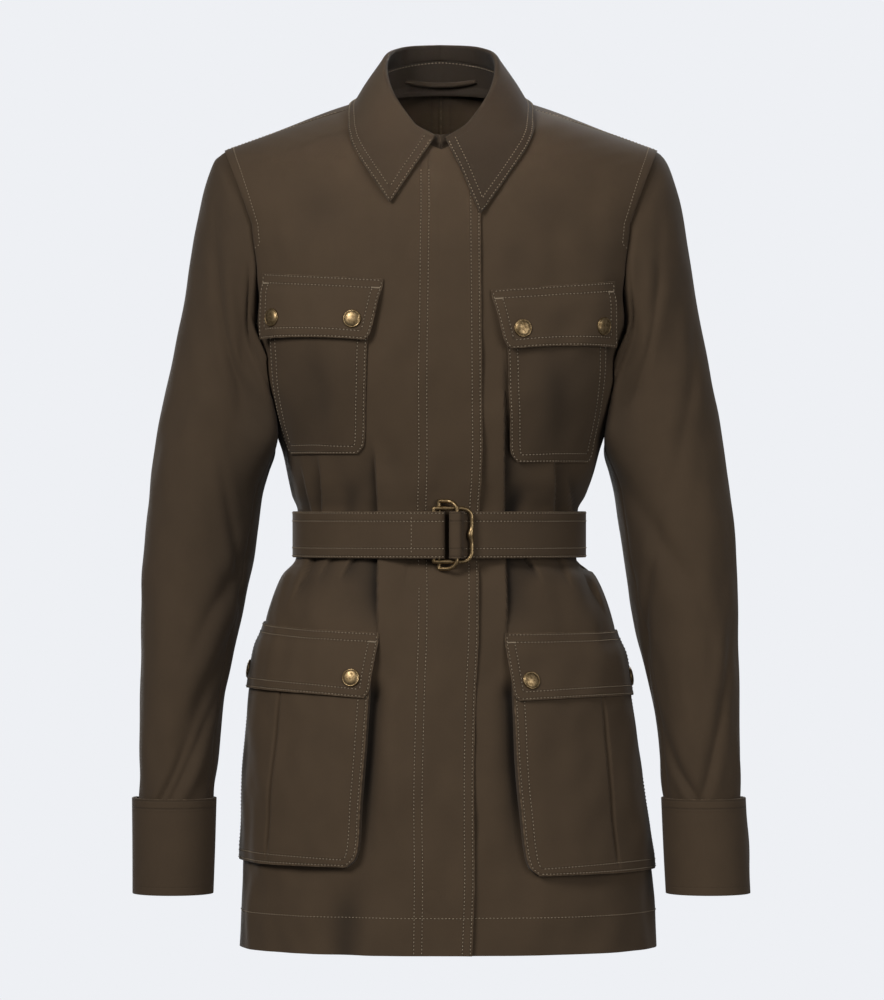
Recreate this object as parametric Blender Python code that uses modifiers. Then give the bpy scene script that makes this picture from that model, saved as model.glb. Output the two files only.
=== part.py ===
"""A belted field jacket, filled out as it is worn and hollow, with nothing inside it.

Lengths are metres. +Z is up, -Y is the front and +X is the wearer's left, so the wearer's right
side lies at -X. The origin is midway between the two shoulder points, where shoulders carry it.

Every cloth piece is an open surface with a Solidify wall. The four body panels are made of rows:
a row is one curve that runs from the centre line of the body round to the side seam or the
armhole, and a place on it is given by its girth, the distance along it from the centre line.
"""

import math

import bmesh
import bpy
from mathutils import Vector
from mathutils.bvhtree import BVHTree

# Cloth and seams
CLOTH = 0.0015  # one wall of cloth
BELT_CLOTH = 0.0024  # the belt is two layers with a stiffener
SEAM = 0.0003  # gap between two pieces at a seam
LAP = 0.0013  # each front moves this far from the centre surface where they overlap
LAP_FADE = (0.036, 0.062)  # from the centre line, where that move starts to fade and where it is gone
RIGHT, LEFT = -1, 1  # the wearer's sides
SIDE_NAMES = {RIGHT: "right", LEFT: "left"}

# Body, from the hem up to the back of the neck. front and back: depths at the centre line. full: how
# far a row holds its direction at each end, as a share of its chord. sway: the skirt's lean sideways.
TORSO = (
    ("z", "half_width", "front", "back", "full", "sway"),
    (-0.677, 0.1795, 0.121, 0.127, 0.43, 0.0065),
    (-0.614, 0.1765, 0.121, 0.129, 0.43, 0.0055),
    (-0.560, 0.1690, 0.119, 0.128, 0.43, 0.0025),
    (-0.518, 0.1630, 0.117, 0.126, 0.43, 0.0010),
    (-0.457, 0.1575, 0.112, 0.120, 0.43, -0.0005),
    (-0.414, 0.1530, 0.107, 0.113, 0.43, -0.0010),
    (-0.387, 0.1470, 0.103, 0.107, 0.42, -0.0018),
    (-0.359, 0.1350, 0.097, 0.099, 0.41, -0.0026),
    (-0.346, 0.1226, 0.091, 0.091, 0.41, -0.0030),
    (-0.324, 0.1226, 0.091, 0.091, 0.41, -0.0030),
    (-0.302, 0.1226, 0.091, 0.091, 0.41, -0.0026),
    (-0.290, 0.1280, 0.094, 0.093, 0.42, -0.0020),
    (-0.277, 0.1315, 0.098, 0.095, 0.44, -0.0010),
    (-0.250, 0.1375, 0.104, 0.098, 0.46, 0.0000),
    (-0.200, 0.1555, 0.112, 0.104, 0.49, 0.0000),
    (-0.150, 0.1635, 0.114, 0.108, 0.50, 0.0000),
    (-0.100, 0.1720, 0.108, 0.108, 0.50, 0.0000),
    (-0.060, 0.1800, 0.098, 0.103, 0.49, 0.0000),
    (-0.020, 0.1800, 0.083, 0.092, 0.44, 0.0000),
    (0.006, 0.1800, 0.068, 0.084, 0.40, 0.0000),
    (0.030, 0.1800, 0.060, 0.073, 0.40, 0.0000),
    (0.060, 0.1800, 0.050, 0.056, 0.40, 0.0000),
)
SIDE_SEAM_Y = 0.020
SIDE_SEAM_INSET = 0.0025  # the side seam lies this far inside the widest point of a row
SIDE_HEADING = math.radians(98)  # which way a front row runs where it meets the side seam
FAN_FULLNESS = 0.38  # how far a row of the fan holds its direction at each end
SHOULDER_ROUND = 0.03  # how much the shoulder seam arches

# Armhole: a tilted loop. Angle 0 is the shoulder point, a quarter turn the front, a half the underarm.
SHOULDER_POINT = Vector((0.186, 0.005, 0.006))
UNDERARM = Vector((0.153, SIDE_SEAM_Y, -0.200))
ARMHOLE_FRONT = 0.072
ARMHOLE_BACK = 0.066
FAN_HEADING = {"front": math.radians(44), "back": math.radians(-30)}  # at the armhole, foot of the fan

# Neck: a loop from the centre front (angle 0) by the shoulder seam to the centre back (a half turn).
NECK_HALF_WIDTH = 0.066
NECK_MIDDLE_Y = -0.006
NECK_HALF_DEPTH = 0.062
NECK_FRONT_Z = 0.003
NECK_BACK_Z = 0.060
NECK_RISE = 1.0  # exponent: how early the neckline climbs from the front
NECK_SIDE = math.radians(98)  # where the shoulder seam meets the neckline

# Rows of a panel: level rows by height, then rows that fan out to the shoulder seam.
ROW_HEIGHTS = (
    -0.677, -0.635, -0.590, -0.545, -0.500, -0.460, -0.425, -0.400, -0.381, -0.364, -0.346, -0.324,
    -0.302, -0.288, -0.268, -0.242, -0.218, -0.200, -0.195, -0.183, -0.162, -0.130, -0.095, -0.060,
)  # fmt: skip
FAN_Z = -0.060
FAN_STEPS = {"front": (0.22, 0.45, 0.58, 0.72, 0.87, 1.0), "back": (0.35, 0.70, 0.78, 0.86, 0.94, 1.0)}
FAN_NECK = {"front": 0.45, "back": 0.70}  # share of the fan that lies below the neckline
FRONT_COLUMNS = (0, 0.11, 0.20, 0.255, 0.295, 0.335, 0.40, 0.47, 0.53, 0.59, 0.65, 0.72, 0.80, 0.88, 0.94, 1)
BACK_COLUMNS = (0, 0.10, 0.18, 0.25, 0.32, 0.40, 0.48, 0.56, 0.64, 0.74, 0.84, 0.93, 1)
UNDER_LAP = 0.028  # how far the under front runs past the centre line
OVER_LAP = (  # and the over front, whose edge swings towards the right below the belt
    ("z", "girth"),
    (-0.677, 0.0197),
    (-0.560, 0.0252),
    (-0.462, 0.0296),
    (-0.390, 0.0335),
    (-0.324, 0.0350),
    (0.006, 0.0330),
)
BELT_Z = -0.3235
BELT_HALF_HEIGHT = 0.0198

# Folds that the belt draws in. share: place on the row, 0 centre to 1 side seam. lean: how far the
# share moves over the fold's reach. width is a share too. depth and the reaches are metres.
FOLD_COLUMNS = ("panel", "share", "width", "depth", "reach_up", "reach_down", "lean_up", "lean_down")
FOLDS = (
    ("front_right", 0.295, 0.075, 0.0075, 0.075, 0.250, 0.02, 0.01),
    ("front_right", 0.57, 0.080, 0.0060, 0.060, 0.035, -0.03, 0.00),
    ("front_right", 0.73, 0.080, 0.0050, 0.050, 0.060, 0.00, 0.10),
    ("front_right", 0.43, 0.070, 0.0035, 0.025, 0.035, 0.00, -0.03),
    ("front_left", 0.295, 0.075, 0.0075, 0.170, 0.110, 0.00, 0.00),
    ("front_left", 0.53, 0.080, 0.0060, 0.080, 0.030, 0.00, 0.02),
    ("front_left", 0.65, 0.070, 0.0050, 0.045, 0.035, 0.00, 0.00),
    ("front_left", 0.82, 0.080, 0.0050, 0.040, 0.075, 0.00, 0.06),
    ("back_right", 0.17, 0.090, 0.0055, 0.090, 0.110, -0.02, -0.03),
    ("back_right", 0.38, 0.085, 0.0060, 0.060, 0.090, 0.02, 0.03),
    ("back_right", 0.60, 0.090, 0.0050, 0.075, 0.060, 0.00, 0.04),
    ("back_right", 0.82, 0.090, 0.0045, 0.050, 0.070, 0.00, 0.03),
    ("back_left", 0.20, 0.090, 0.0050, 0.070, 0.120, 0.02, -0.02),
    ("back_left", 0.42, 0.085, 0.0060, 0.085, 0.080, 0.00, 0.03),
    ("back_left", 0.62, 0.090, 0.0050, 0.055, 0.075, 0.02, 0.03),
    ("back_left", 0.84, 0.090, 0.0045, 0.060, 0.055, 0.00, 0.02),
)
FOLD_UNDER_BELT = 0.55  # share of a fold's depth that is left where the belt presses it flat

# Sleeve: rings from the armhole (station 0) to the cuff, by their outer and inner points seen from
# the front, the middle and half size of the ring from front to back.
SLEEVE = (
    ("station", "outer_x", "outer_z", "inner_x", "inner_z", "middle_y", "half_depth"),
    (0, 0.1867, 0.0052, 0.1556, -0.2005, 0.0125, 0.0690),
    (1, 0.1955, -0.0060, 0.1564, -0.206, 0.0115, 0.0690),
    (2, 0.2040, -0.0320, 0.1535, -0.215, 0.0105, 0.0680),
    (3, 0.2100, -0.0650, 0.1482, -0.227, 0.0085, 0.0660),
    (4, 0.2155, -0.1000, 0.1425, -0.241, 0.0070, 0.0640),
    (5, 0.2222, -0.1400, 0.1410, -0.255, 0.0045, 0.0620),
    (6, 0.2295, -0.1800, 0.1453, -0.271, 0.0010, 0.0600),
    (7, 0.2358, -0.2150, 0.1497, -0.290, -0.0020, 0.0580),
    (8, 0.2425, -0.2550, 0.1530, -0.315, -0.0055, 0.0560),
    (9, 0.2480, -0.2950, 0.1570, -0.345, -0.0095, 0.0540),
    (10, 0.2520, -0.3350, 0.1625, -0.375, -0.0140, 0.0515),
    (11, 0.2540, -0.3750, 0.1690, -0.408, -0.0190, 0.0485),
    (12, 0.2540, -0.4250, 0.1770, -0.448, -0.0255, 0.0450),
    (13, 0.2535, -0.4750, 0.1842, -0.488, -0.0315, 0.0410),
    (14, 0.2540, -0.5200, 0.1883, -0.526, -0.0360, 0.0380),
    (15, 0.2540, -0.5520, 0.1912, -0.552, -0.0385, 0.0355),
)
SLEEVE_STATIONS = (0, 1, 2, 3, 4, 5, 6, 7, 8, 9, 10, 11, 12, 13, 14, 15)
SLEEVE_MORPH = 4.0  # stations over which the armhole's shape turns into a plain oval
SLEEVE_SWING = {RIGHT: 0.0037, LEFT: 0.0}  # how far each sleeve hangs away from the body
SLEEVE_SLIM = {RIGHT: 0.030, LEFT: 0.0}  # how much narrower each one hangs above the wrist
SWING_STATIONS = (1.0, 8.0)  # where the swing sets in
SLIM_STATIONS = (2.5, 11.0, 12.0, 14.5)  # where the slim stretch starts, is full, ends
SLEEVE_SEAM_DEGREES = 0.35  # half of the gap at a sleeve seam, as a turn round the ring
FRONT_SLEEVE_SEAM = 152  # degrees round the ring, from the outer point by the front
BACK_SLEEVE_SEAM = 248
TOP_SLEEVE_COLUMNS = 14
UNDER_SLEEVE_COLUMNS = 6
# Soft folds of the sleeves: a trough that slants round the ring by `slant` degrees per station.
SLEEVE_FOLD_COLUMNS = ("side", "angle", "station", "half_angle", "half_length", "depth", "slant")
SLEEVE_FOLDS = (
    (RIGHT, 120, 12.6, 70, 0.9, 0.0050, 26),
    (RIGHT, 105, 14.0, 65, 0.6, 0.0040, 26),
    (RIGHT, 150, 10.2, 50, 0.8, 0.0035, 20),
    (RIGHT, 75, 3.2, 60, 0.8, 0.0035, -25),
    (LEFT, 60, 6.4, 60, 0.8, 0.0035, -22),
    (LEFT, 110, 9.0, 60, 0.9, 0.0030, 18),
    (LEFT, 70, 13.6, 60, 0.8, 0.0030, -20),
    (LEFT, 80, 3.0, 55, 0.7, 0.0035, -22),
)

# Cuff: a band that laps over itself at the outer back edge, closed with a snap.
CUFF = (
    ("z", "outer_x", "inner_x", "middle_y", "half_depth"),
    (-0.629, 0.2605, 0.1925, -0.0430, 0.0370),
    (-0.590, 0.2585, 0.1905, -0.0410, 0.0380),
    (-0.5475, 0.2567, 0.1887, -0.0385, 0.0395),
)
CUFF_UNDER_END = 14  # degrees round the ring from the outer point
CUFF_TURN = 396  # degrees that the band runs round, lap included
CUFF_COLUMNS = 26
CUFF_LIFT = 0.0024  # how far the outer end of the lap stands off the inner end
CUFF_GAPE = {RIGHT: 0.0005, LEFT: 0.0035}  # the outer end lifts this much more beside the snap
CUFF_LEAN = {RIGHT: -0.0045, LEFT: 0.0}  # how far each cuff's lower edge leans out
CUFF_RISE_TURNS = (190, 60)  # degrees before its outer end where the lap starts to rise, is clear
CUFF_GAPE_TURN = 30
CUFF_SNAP_TURN = 26  # the snap's place, in degrees before the outer end

# Collar: a stand on the neckline, and a leaf that starts on the stand, rolls over and falls.
STAND_HEIGHT_BACK = 0.026
STAND_HEIGHT_FRONT = 0.0055
ROLL = (  # the collar's fold by angle round the neck
    ("angle", "half_width", "y", "z"),
    (0, 0.0000, -0.0700, 0.0125),
    (10, 0.0095, -0.0655, 0.0178),
    (20, 0.0208, -0.0600, 0.0255),
    (30, 0.0292, -0.0525, 0.0355),
    (45, 0.0390, -0.0420, 0.0510),
    (60, 0.0440, -0.0290, 0.0640),
    (75, 0.0458, -0.0150, 0.0750),
    (90, 0.0455, -0.0010, 0.0840),
    (105, 0.0428, 0.0130, 0.0908),
    (120, 0.0375, 0.0265, 0.0948),
    (140, 0.0270, 0.0400, 0.0982),
    (180, 0.0000, 0.0520, 0.1005),
)
LEAF_EDGE = (  # outer edge of the collar, from the front point round to the centre back
    ("angle", "half_width", "y", "z"),
    (0, 0.0370, -0.0980, -0.0470),
    (20, 0.0548, -0.0870, -0.0220),
    (45, 0.0747, -0.0600, 0.0080),
    (75, 0.0788, -0.0250, 0.0330),
    (105, 0.0758, 0.0170, 0.0440),
    (140, 0.0570, 0.0630, 0.0490),
    (180, 0.0000, 0.0830, 0.0480),
)
LEAF_POINT = {RIGHT: (0.0060, 0.004), LEFT: (-0.0040, -0.006)}  # each point's own offset in x and z
COLLAR_FRONT_GAP = 0.0035  # from the centre line to each end of the collar's fold
STAND_START = 4  # degrees round the neck from the centre line to each end of the stand
LEAF_CLEAR = 0.0043  # from the body to the middle of the leaf's wall
LEAF_BOW = 0.0010  # how far the leaf bows out between its fold and its edge
ROLL_SHARE = 0.27  # share of the leaf's steps that turn over the fold
ROLL_RADIUS = 0.0020
ROLL_LEAST = 0.0012  # the fold's radius where the stand has run out
LEAF_ANGLES = (0, 8, 18, 30, 45, 60, 75, 90, 103, 115, 127, 140, 158, 180)
LEAF_STEPS = (0.0, 0.09, 0.18, ROLL_SHARE, 0.40, 0.60, 0.80, 1.0)
STAND_STEPS = (0.0, 0.5, 1.0)

# Pockets, by girth from the centre line and height, on the wearer's left. Each side has its own shift.
CHEST_FLAP = (
    ("drop", "inner", "outer", "lift"),
    (0.000, 0.0450, 0.157, 0.0020),
    (0.008, 0.0460, 0.157, 0.0030),
    (0.017, 0.0485, 0.158, 0.0058),
    (0.036, 0.0525, 0.159, 0.0075),
    (0.049, 0.0560, 0.160, 0.0086),
    (0.0545, 0.0605, 0.1595, 0.0088),
)
CHEST_FLAP_Z = -0.104
CHEST_POCKET = (
    ("drop", "inner", "outer", "lift"),
    (0.020, 0.0585, 0.153, 0.0026),
    (0.045, 0.0585, 0.153, 0.0030),
    (0.070, 0.0595, 0.153, 0.0030),
    (0.092, 0.0600, 0.153, 0.0030),
    (0.114, 0.0610, 0.1525, 0.0030),
    (0.135, 0.0615, 0.152, 0.0032),
    (0.147, 0.0630, 0.151, 0.0032),
    (0.1535, 0.0685, 0.147, 0.0030),
)
# How a side's pockets lie: girth and height moved by, how much lower the inner edge hangs at the flap's
# top and from a drop of "over" on, and the girth that the pocket leans outwards by that drop.
CHEST_SHIFT = {
    RIGHT: {"girth": 0.003, "up": 0.0025, "slope": (0.0066, 0.0), "over": 0.07, "lean": 0.0},
    LEFT: {"girth": -0.003, "up": -0.0047, "slope": (0.0087, 0.0), "over": 0.07, "lean": 0.0},
}
HIP_FLAP_Z = -0.404
HIP_FLAP = (
    ("drop", "inner", "outer", "lift"),
    (0.000, 0.0530, 0.221, 0.0020),
    (0.008, 0.0530, 0.221, 0.0032),
    (0.020, 0.0545, 0.223, 0.0070),
    (0.036, 0.0570, 0.225, 0.0086),
    (0.049, 0.0595, 0.227, 0.0094),
    (0.0545, 0.0640, 0.2265, 0.0097),
)
HIP_POCKET = (
    ("drop", "inner", "outer", "lift"),
    (0.022, 0.0585, 0.222, 0.0042),
    (0.040, 0.0600, 0.225, 0.0058),
    (0.060, 0.0610, 0.228, 0.0070),
    (0.105, 0.0635, 0.232, 0.0085),
    (0.150, 0.0670, 0.236, 0.0085),
    (0.186, 0.0700, 0.239, 0.0080),
    (0.197, 0.0735, 0.238, 0.0075),
    (0.203, 0.0805, 0.235, 0.0070),
)
HIP_SHIFT = {
    RIGHT: {"girth": -0.002, "up": 0.0055, "slope": (0.0075, -0.0016), "over": 0.20, "lean": 0.0058},
    LEFT: {"girth": 0.002, "up": -0.0018, "slope": (0.0007, 0.0060), "over": 0.20, "lean": -0.0058},
}
PATCH_CLEAR = 0.004  # least distance from a pocket's outer edge to the side seam or armhole
FLAP_DIP = 0.002  # a flap's corners hang this much lower than its middle
FLAP_DIP_DROPS = (0.03, 0.06)  # where the dip sets in, below the flap's top
GUSSET_FOOT = 0.0016  # a gusset's lower edge stands this far from the panel's middle
GUSSET_INSET = 0.0006  # the face's edge lies this far inside the gusset's foot
HIP_FLATTEN = {"most": 0.45, "shares": (0.35, 0.95), "drops": (0.12, 0.19)}  # towards the side, low down
PLEAT_HALF_WIDTH = 0.0035
PLEAT_DEPTH = 0.0030
PLEAT_DROPS = (0.03, 0.08)  # where the pleat opens, below the flap's top
PLEAT_END = 0.02  # the pleat runs out over this height at the pocket's foot
CHEST_FLAP_COLUMNS = 8
HIP_FLAP_COLUMNS = 12
CHEST_POCKET_SHARES = (0, 0.08, 0.25, 0.42, 0.58, 0.75, 0.92, 1)
CHEST_POCKET_FILL = 0.0020  # the pocket stands this much fuller in its middle
CHEST_POCKET_MIDDLE = 0.080  # drop of that fullest place, and its reach up and down

# Snaps: domed caps
SNAP_RADIUS = 0.0076
SNAP_HEIGHT = 0.0030
SNAP_SEGMENTS = 12
SNAP_DOME = ((0.0018, 0.35), (0.0030, 0.15))  # two steps inwards, each with its rise as a share of the height
CHEST_SNAP_DROP = 0.0375
CHEST_SNAP_INSETS = (0.018, 0.016)  # from the flap's inner and outer edges
HIP_SNAP_DROP = 0.0393
HIP_SNAP_INSETS = (0.0163, 0.0195)

# Belt and its double ring buckle, seen in plan. lift is from the body's middle surface.
WIRE = 0.00175  # radius of the rings' wire
BELT_LIFT = 0.0027
RING_LIFT = 0.0078  # where both rings sit in the fold of the belt
BELT_ROUTE = (  # girth from the centre front towards the wearer's left, then lift
    ("girth", "lift"),
    (-0.036, BELT_LIFT),
    (-0.020, BELT_LIFT + 0.0004),
    (-0.008, RING_LIFT - 0.0034),
    (0.0005, RING_LIFT - 0.0032),
    (0.0030, RING_LIFT),
    (0.0005, RING_LIFT + 0.0032),
    (-0.008, RING_LIFT + 0.0032),
    (-0.022, RING_LIFT + 0.0008),
    (-0.038, BELT_LIFT + 0.0036),
    (-0.056, BELT_LIFT + 0.0010),
    (-0.075, BELT_LIFT),
)
UNDER_TURN = (  # the far end comes back to the front under the rings and turns over the large ring
    ("girth", "lift"),
    (0.2300, BELT_LIFT),
    (0.0450, BELT_LIFT),
    (0.0240, BELT_LIFT + 0.0004),
    (0.0135, BELT_LIFT + 0.0036),
    (0.0100, 0.0138),
    (0.0118, 0.0170),
    (0.0150, 0.0180),
    (0.0172, 0.0168),
    (0.0196, 0.0116),
    (0.0230, 0.0074),
    (0.0290, BELT_LIFT + 0.0032),
    (0.0400, BELT_LIFT + 0.0030),
    (0.2400, BELT_LIFT + 0.0030),
)
BELT_STEP = 0.0125  # longest stretch between two sections of the belt
SMALL_RING = {"left": -0.0009, "right": 0.0270, "half_height": 0.0225, "radius": 0.008}
LARGE_RING = {"left": -0.0052, "right": 0.0148, "half_height": 0.0285, "radius": 0.010}
SMALL_RING_FRONT_LIFT = 0.0122  # where the small ring's free bar lies on the belt
LARGE_RING_FRONT_LIFT = 0.0142  # where the large ring's free bar stands inside the belt's turn
THUMB_REST = 0.0022  # the small ring's bar swells inwards at its middle
THUMB_REST_HALF = 0.007

# Hanger loop inside the back of the neck
LOOP_HALF_LENGTH = 0.034
LOOP_HEIGHT = 0.006
LOOP_CLOTH = 0.0012
LOOP_COLUMNS = 10
LOOP_RISE = 0.0085  # from the stand's foot up to the tape's middle line at its ends
LOOP_SAG = 0.0030
LOOP_STAND_OFF = 0.0026  # from the stand to the tape at its ends

COLOURS = {
    "olive_cotton": ((0.070, 0.048, 0.031, 1.0), 0.85, 0.0),
    "aged_brass": ((0.330, 0.235, 0.105, 1.0), 0.38, 1.0),
}


def read(table, name, place):
    """One column of a table at a place along its first column, on a smooth curve through its rows."""
    column = table[0].index(name)
    places = [row[0] for row in table[1:]]
    values = [row[column] for row in table[1:]]
    if places[0] > places[-1]:
        places.reverse()
        values.reverse()
    place = min(max(place, places[0]), places[-1])
    last = len(places) - 1
    i = max(k for k in range(last) if places[k] <= place)
    span = places[i + 1] - places[i]
    share = (place - places[i]) / span

    def slope(k):
        low, high = max(k - 1, 0), min(k + 1, last)
        return (values[high] - values[low]) / (places[high] - places[low])

    square, cube = share**2, share**3
    return (
        values[i] * (2 * cube - 3 * square + 1)
        + values[i + 1] * (3 * square - 2 * cube)
        + slope(i) * span * (cube - 2 * square + share)
        + slope(i + 1) * span * (cube - square)
    )


def ease(low, high, value):
    """0 below low, 1 above high and a soft step between them."""
    share = min(max((value - low) / (high - low), 0.0), 1.0)
    return share * share * (3 - 2 * share)


def hump(offset):
    """1 at 0, falling softly to 0 at -1 and 1."""
    return math.cos(math.pi / 2 * min(max(offset, -1.0), 1.0)) ** 2


def lerp(a, b, share):
    return a + (b - a) * share


def named(columns, row):
    return dict(zip(columns, row))


class Row:
    """A curve across half the body, from the centre line (girth 0) to the side seam or armhole."""

    SAMPLES = 48

    def __init__(self, start, end, leave, arrive, full, stop_y=None):
        reach = full * (end - start).length
        self.controls = (start, start + leave * reach, end - arrive * reach, end)
        points = [self.bezier(i / self.SAMPLES) for i in range(self.SAMPLES + 1)]
        self.girths = [0.0]
        for before, after in zip(points, points[1:]):
            self.girths.append(self.girths[-1] + (after - before).length)
        self.whole = self.girths[-1]
        self.length = self.whole
        if stop_y is not None:
            low, high = 0.0, self.whole
            forward = end.y > start.y
            for _ in range(30):
                middle = (low + high) / 2
                if (self.at(middle).y < stop_y) == forward:
                    low = middle
                else:
                    high = middle
            self.length = low

    def bezier(self, t):
        a, b, c, d = self.controls
        s = 1 - t
        return a * s**3 + b * (3 * s * s * t) + c * (3 * s * t * t) + d * t**3

    def at(self, girth):
        """The point at a girth. Past the centre line it is the mirror image of the same row."""
        if girth < 0:
            point = self.at(-girth)
            return Vector((-point.x, point.y, point.z))
        girth = min(girth, self.whole)
        i = max(k for k in range(self.SAMPLES) if self.girths[k] <= girth)
        share = (girth - self.girths[i]) / (self.girths[i + 1] - self.girths[i])
        return self.bezier((i + share) / self.SAMPLES)

    def outward(self, girth, front):
        """The level direction straight out of the cloth at a girth."""
        step = 0.001
        along = self.at(min(girth + step, self.whole)) - self.at(min(girth, self.whole - step) - step)
        out = Vector((along.y, -along.x, 0)) if front else Vector((-along.y, along.x, 0))
        return out.normalized()


def armhole_loop(angle):
    """Front-to-back place and height of the armhole seam at an angle round it."""
    middle = (SHOULDER_POINT + UNDERARM) / 2
    half = (SHOULDER_POINT - UNDERARM) / 2
    depth = ARMHOLE_FRONT if math.sin(angle) > 0 else ARMHOLE_BACK
    return middle + half * math.cos(angle) + Vector((0, -depth * math.sin(angle), 0))


ARMHOLE_MIDDLE_Z = (SHOULDER_POINT.z + UNDERARM.z) / 2
FAN_ANGLE = math.acos((FAN_Z - ARMHOLE_MIDDLE_Z) / (SHOULDER_POINT.z - ARMHOLE_MIDDLE_Z))


def level_row(half, z):
    """A level row of the front or back half of the body. Above the underarm it stops at the armhole."""
    front = half == "front"
    start = Vector((0, -read(TORSO, "front", z) if front else read(TORSO, "back", z), z))
    end = Vector((read(TORSO, "half_width", z) - SIDE_SEAM_INSET, SIDE_SEAM_Y, z))
    heading = SIDE_HEADING if front else SIDE_HEADING - math.pi
    stop_y = None
    if z > UNDERARM.z:
        angle = math.acos((z - ARMHOLE_MIDDLE_Z) / (SHOULDER_POINT.z - ARMHOLE_MIDDLE_Z))
        stop_y = armhole_loop(angle if front else -angle).y
    arrive = Vector((math.cos(heading), math.sin(heading), 0))
    return Row(start, end, Vector((1, 0, 0)), arrive, read(TORSO, "full", z), stop_y)


FAN_FOOT_X = {half: level_row(half, FAN_Z).at(level_row(half, FAN_Z).length).x for half in ("front", "back")}


def armhole(angle):
    """A point of the armhole seam on the wearer's left, on the body's own surface."""
    half = "front" if math.sin(angle) >= 0 else "back"
    point = armhole_loop(angle)
    if point.z < FAN_Z - 1e-6:
        row = level_row(half, max(point.z, UNDERARM.z + 1e-6))
        point.x = row.at(row.length).x
    else:
        turned = abs((angle + math.pi) % (2 * math.pi) - math.pi)
        share = 1 - turned / FAN_ANGLE
        point.x = lerp(FAN_FOOT_X[half], SHOULDER_POINT.x, math.sin(share * math.pi / 2))
    return point


def neckline(angle):
    """A point of the neck seam on the wearer's left, from the centre front round to the back."""
    climb = math.sin(angle / 2) ** NECK_RISE
    return Vector(
        (
            NECK_HALF_WIDTH * math.sin(angle),
            NECK_MIDDLE_Y - NECK_HALF_DEPTH * math.cos(angle),
            lerp(NECK_FRONT_Z, NECK_BACK_Z, climb),
        )
    )


def fan_row(half, share):
    """A row of the fan between the level rows and the shoulder seam."""
    front = half == "front"
    angle = FAN_ANGLE * (1 - share)
    seam = Vector((0, -SEAM if front else SEAM, 0))
    end = armhole(angle if front else -angle) + seam * share
    neck_share = FAN_NECK[half]
    turn = max((share - neck_share) / (1 - neck_share), 0.0)
    if turn == 0:
        z = lerp(FAN_Z, NECK_FRONT_Z if front else NECK_BACK_Z, share / neck_share)
        start = Vector((0, -read(TORSO, "front", z) if front else read(TORSO, "back", z), z))
    else:
        start = neckline(NECK_SIDE * turn if front else lerp(math.pi, NECK_SIDE, turn)) + seam * turn
    chord = (end - start).normalized()
    arch = Vector((0, 0, SHOULDER_ROUND))
    leave = Vector((1, 0, 0)).lerp(chord + arch, turn).normalized()
    heading = FAN_HEADING[half]
    level = Vector((math.cos(heading), math.sin(heading), 0))
    arrive = level.lerp(chord - arch, share).normalized()
    full = lerp(read(TORSO, "full", FAN_Z), FAN_FULLNESS, min(share * 3, 1.0))
    return Row(start, end, leave, arrive, full)


def fold_depth(panel, share, z):
    """How far the folds of a panel draw the cloth in at a place."""
    depth = 0.0
    for row in FOLDS:
        fold = named(FOLD_COLUMNS, row)
        if fold["panel"] != panel:
            continue
        above = z - BELT_Z
        reach, lean = ("reach_up", "lean_up") if above > 0 else ("reach_down", "lean_down")
        away = max(abs(above) - BELT_HALF_HEIGHT, 0.0) / fold[reach]
        if away >= 1:
            continue
        middle = fold["share"] + fold[lean] * away
        pressed = lerp(FOLD_UNDER_BELT, 1.0, ease(0.0, 0.25, away))
        depth += fold["depth"] * pressed * hump(away) * hump((share - middle) / fold["width"])
    return depth


def lap_offset(half, side, x):
    """The right front lies over the left one, so each leaves the shared surface near the centre."""
    if half == "back":
        return 0.0
    return (LAP if side == RIGHT else -LAP) * (1 - ease(*LAP_FADE, abs(x)))


def placed(point, side):
    """A point of the wearer's left side moved to its own side, with the sway of the skirt."""
    return Vector((point.x * side + read(TORSO, "sway", point.z), point.y, point.z))


def body_point(half, side, row, girth, lift=0.0):
    """A point of the body's plain surface, without folds, moved straight out by lift."""
    out = row.outward(girth, half == "front")
    return placed(row.at(girth) + out * lift, side)


def shaped(name, grid, material, wall=CLOTH):
    """A grid of points as one cloth object with a Solidify wall. A point given as None is left out."""
    length = len(grid[0])
    mesh = bpy.data.meshes.new(name)
    bm = bmesh.new()
    bmesh.ops.create_grid(bm, x_segments=length - 1, y_segments=len(grid) - 1, size=0.5)
    bm.verts.ensure_lookup_table()
    spare = []
    for j, line in enumerate(grid):
        for i, point in enumerate(line):
            vertex = bm.verts[j * length + i]
            if point is None:
                spare.append(vertex)
            else:
                vertex.co = point
    bmesh.ops.delete(bm, geom=spare, context="VERTS")
    bm.to_mesh(mesh)
    bm.free()
    mesh.shade_smooth()
    mesh.set_sharp_from_angle(angle=math.radians(50))
    obj = bpy.data.objects.new(name, mesh)
    PARTS.objects.link(obj)
    obj.data.materials.append(material)
    solidify = obj.modifiers.new("Wall", "SOLIDIFY")
    solidify.thickness = wall
    solidify.offset = 0
    return obj


def body_panel(half, side, material):
    """One of the two fronts or two backs, and the grid of its points."""
    name = f"{half}_{SIDE_NAMES[side]}"
    front = half == "front"
    rows = [(level_row(half, z), True) for z in ROW_HEIGHTS]
    rows += [(fan_row(half, share), share <= FAN_NECK[half]) for share in FAN_STEPS[half]]
    first = 0.0 if front else SEAM / 2
    grid = []
    for row, below_neck in rows:
        girths = []
        if front:
            lap = read(OVER_LAP, "girth", row.at(0.0).z) if side == RIGHT else UNDER_LAP
            girths = [-lap, -lap / 2] if below_neck else [None, None]
        for share in FRONT_COLUMNS if front else BACK_COLUMNS:
            girths.append(lerp(first, row.length - SEAM, share))
        line = []
        for girth in girths:
            if girth is None:
                line.append(None)
                continue
            point = row.at(girth)
            depth = fold_depth(name, girth / row.whole, point.z)
            point -= row.outward(girth, front) * depth
            point.y -= lap_offset(half, side, point.x)
            line.append(placed(point, side))
        grid.append(line)
    return shaped(name, grid, material), grid


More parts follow.
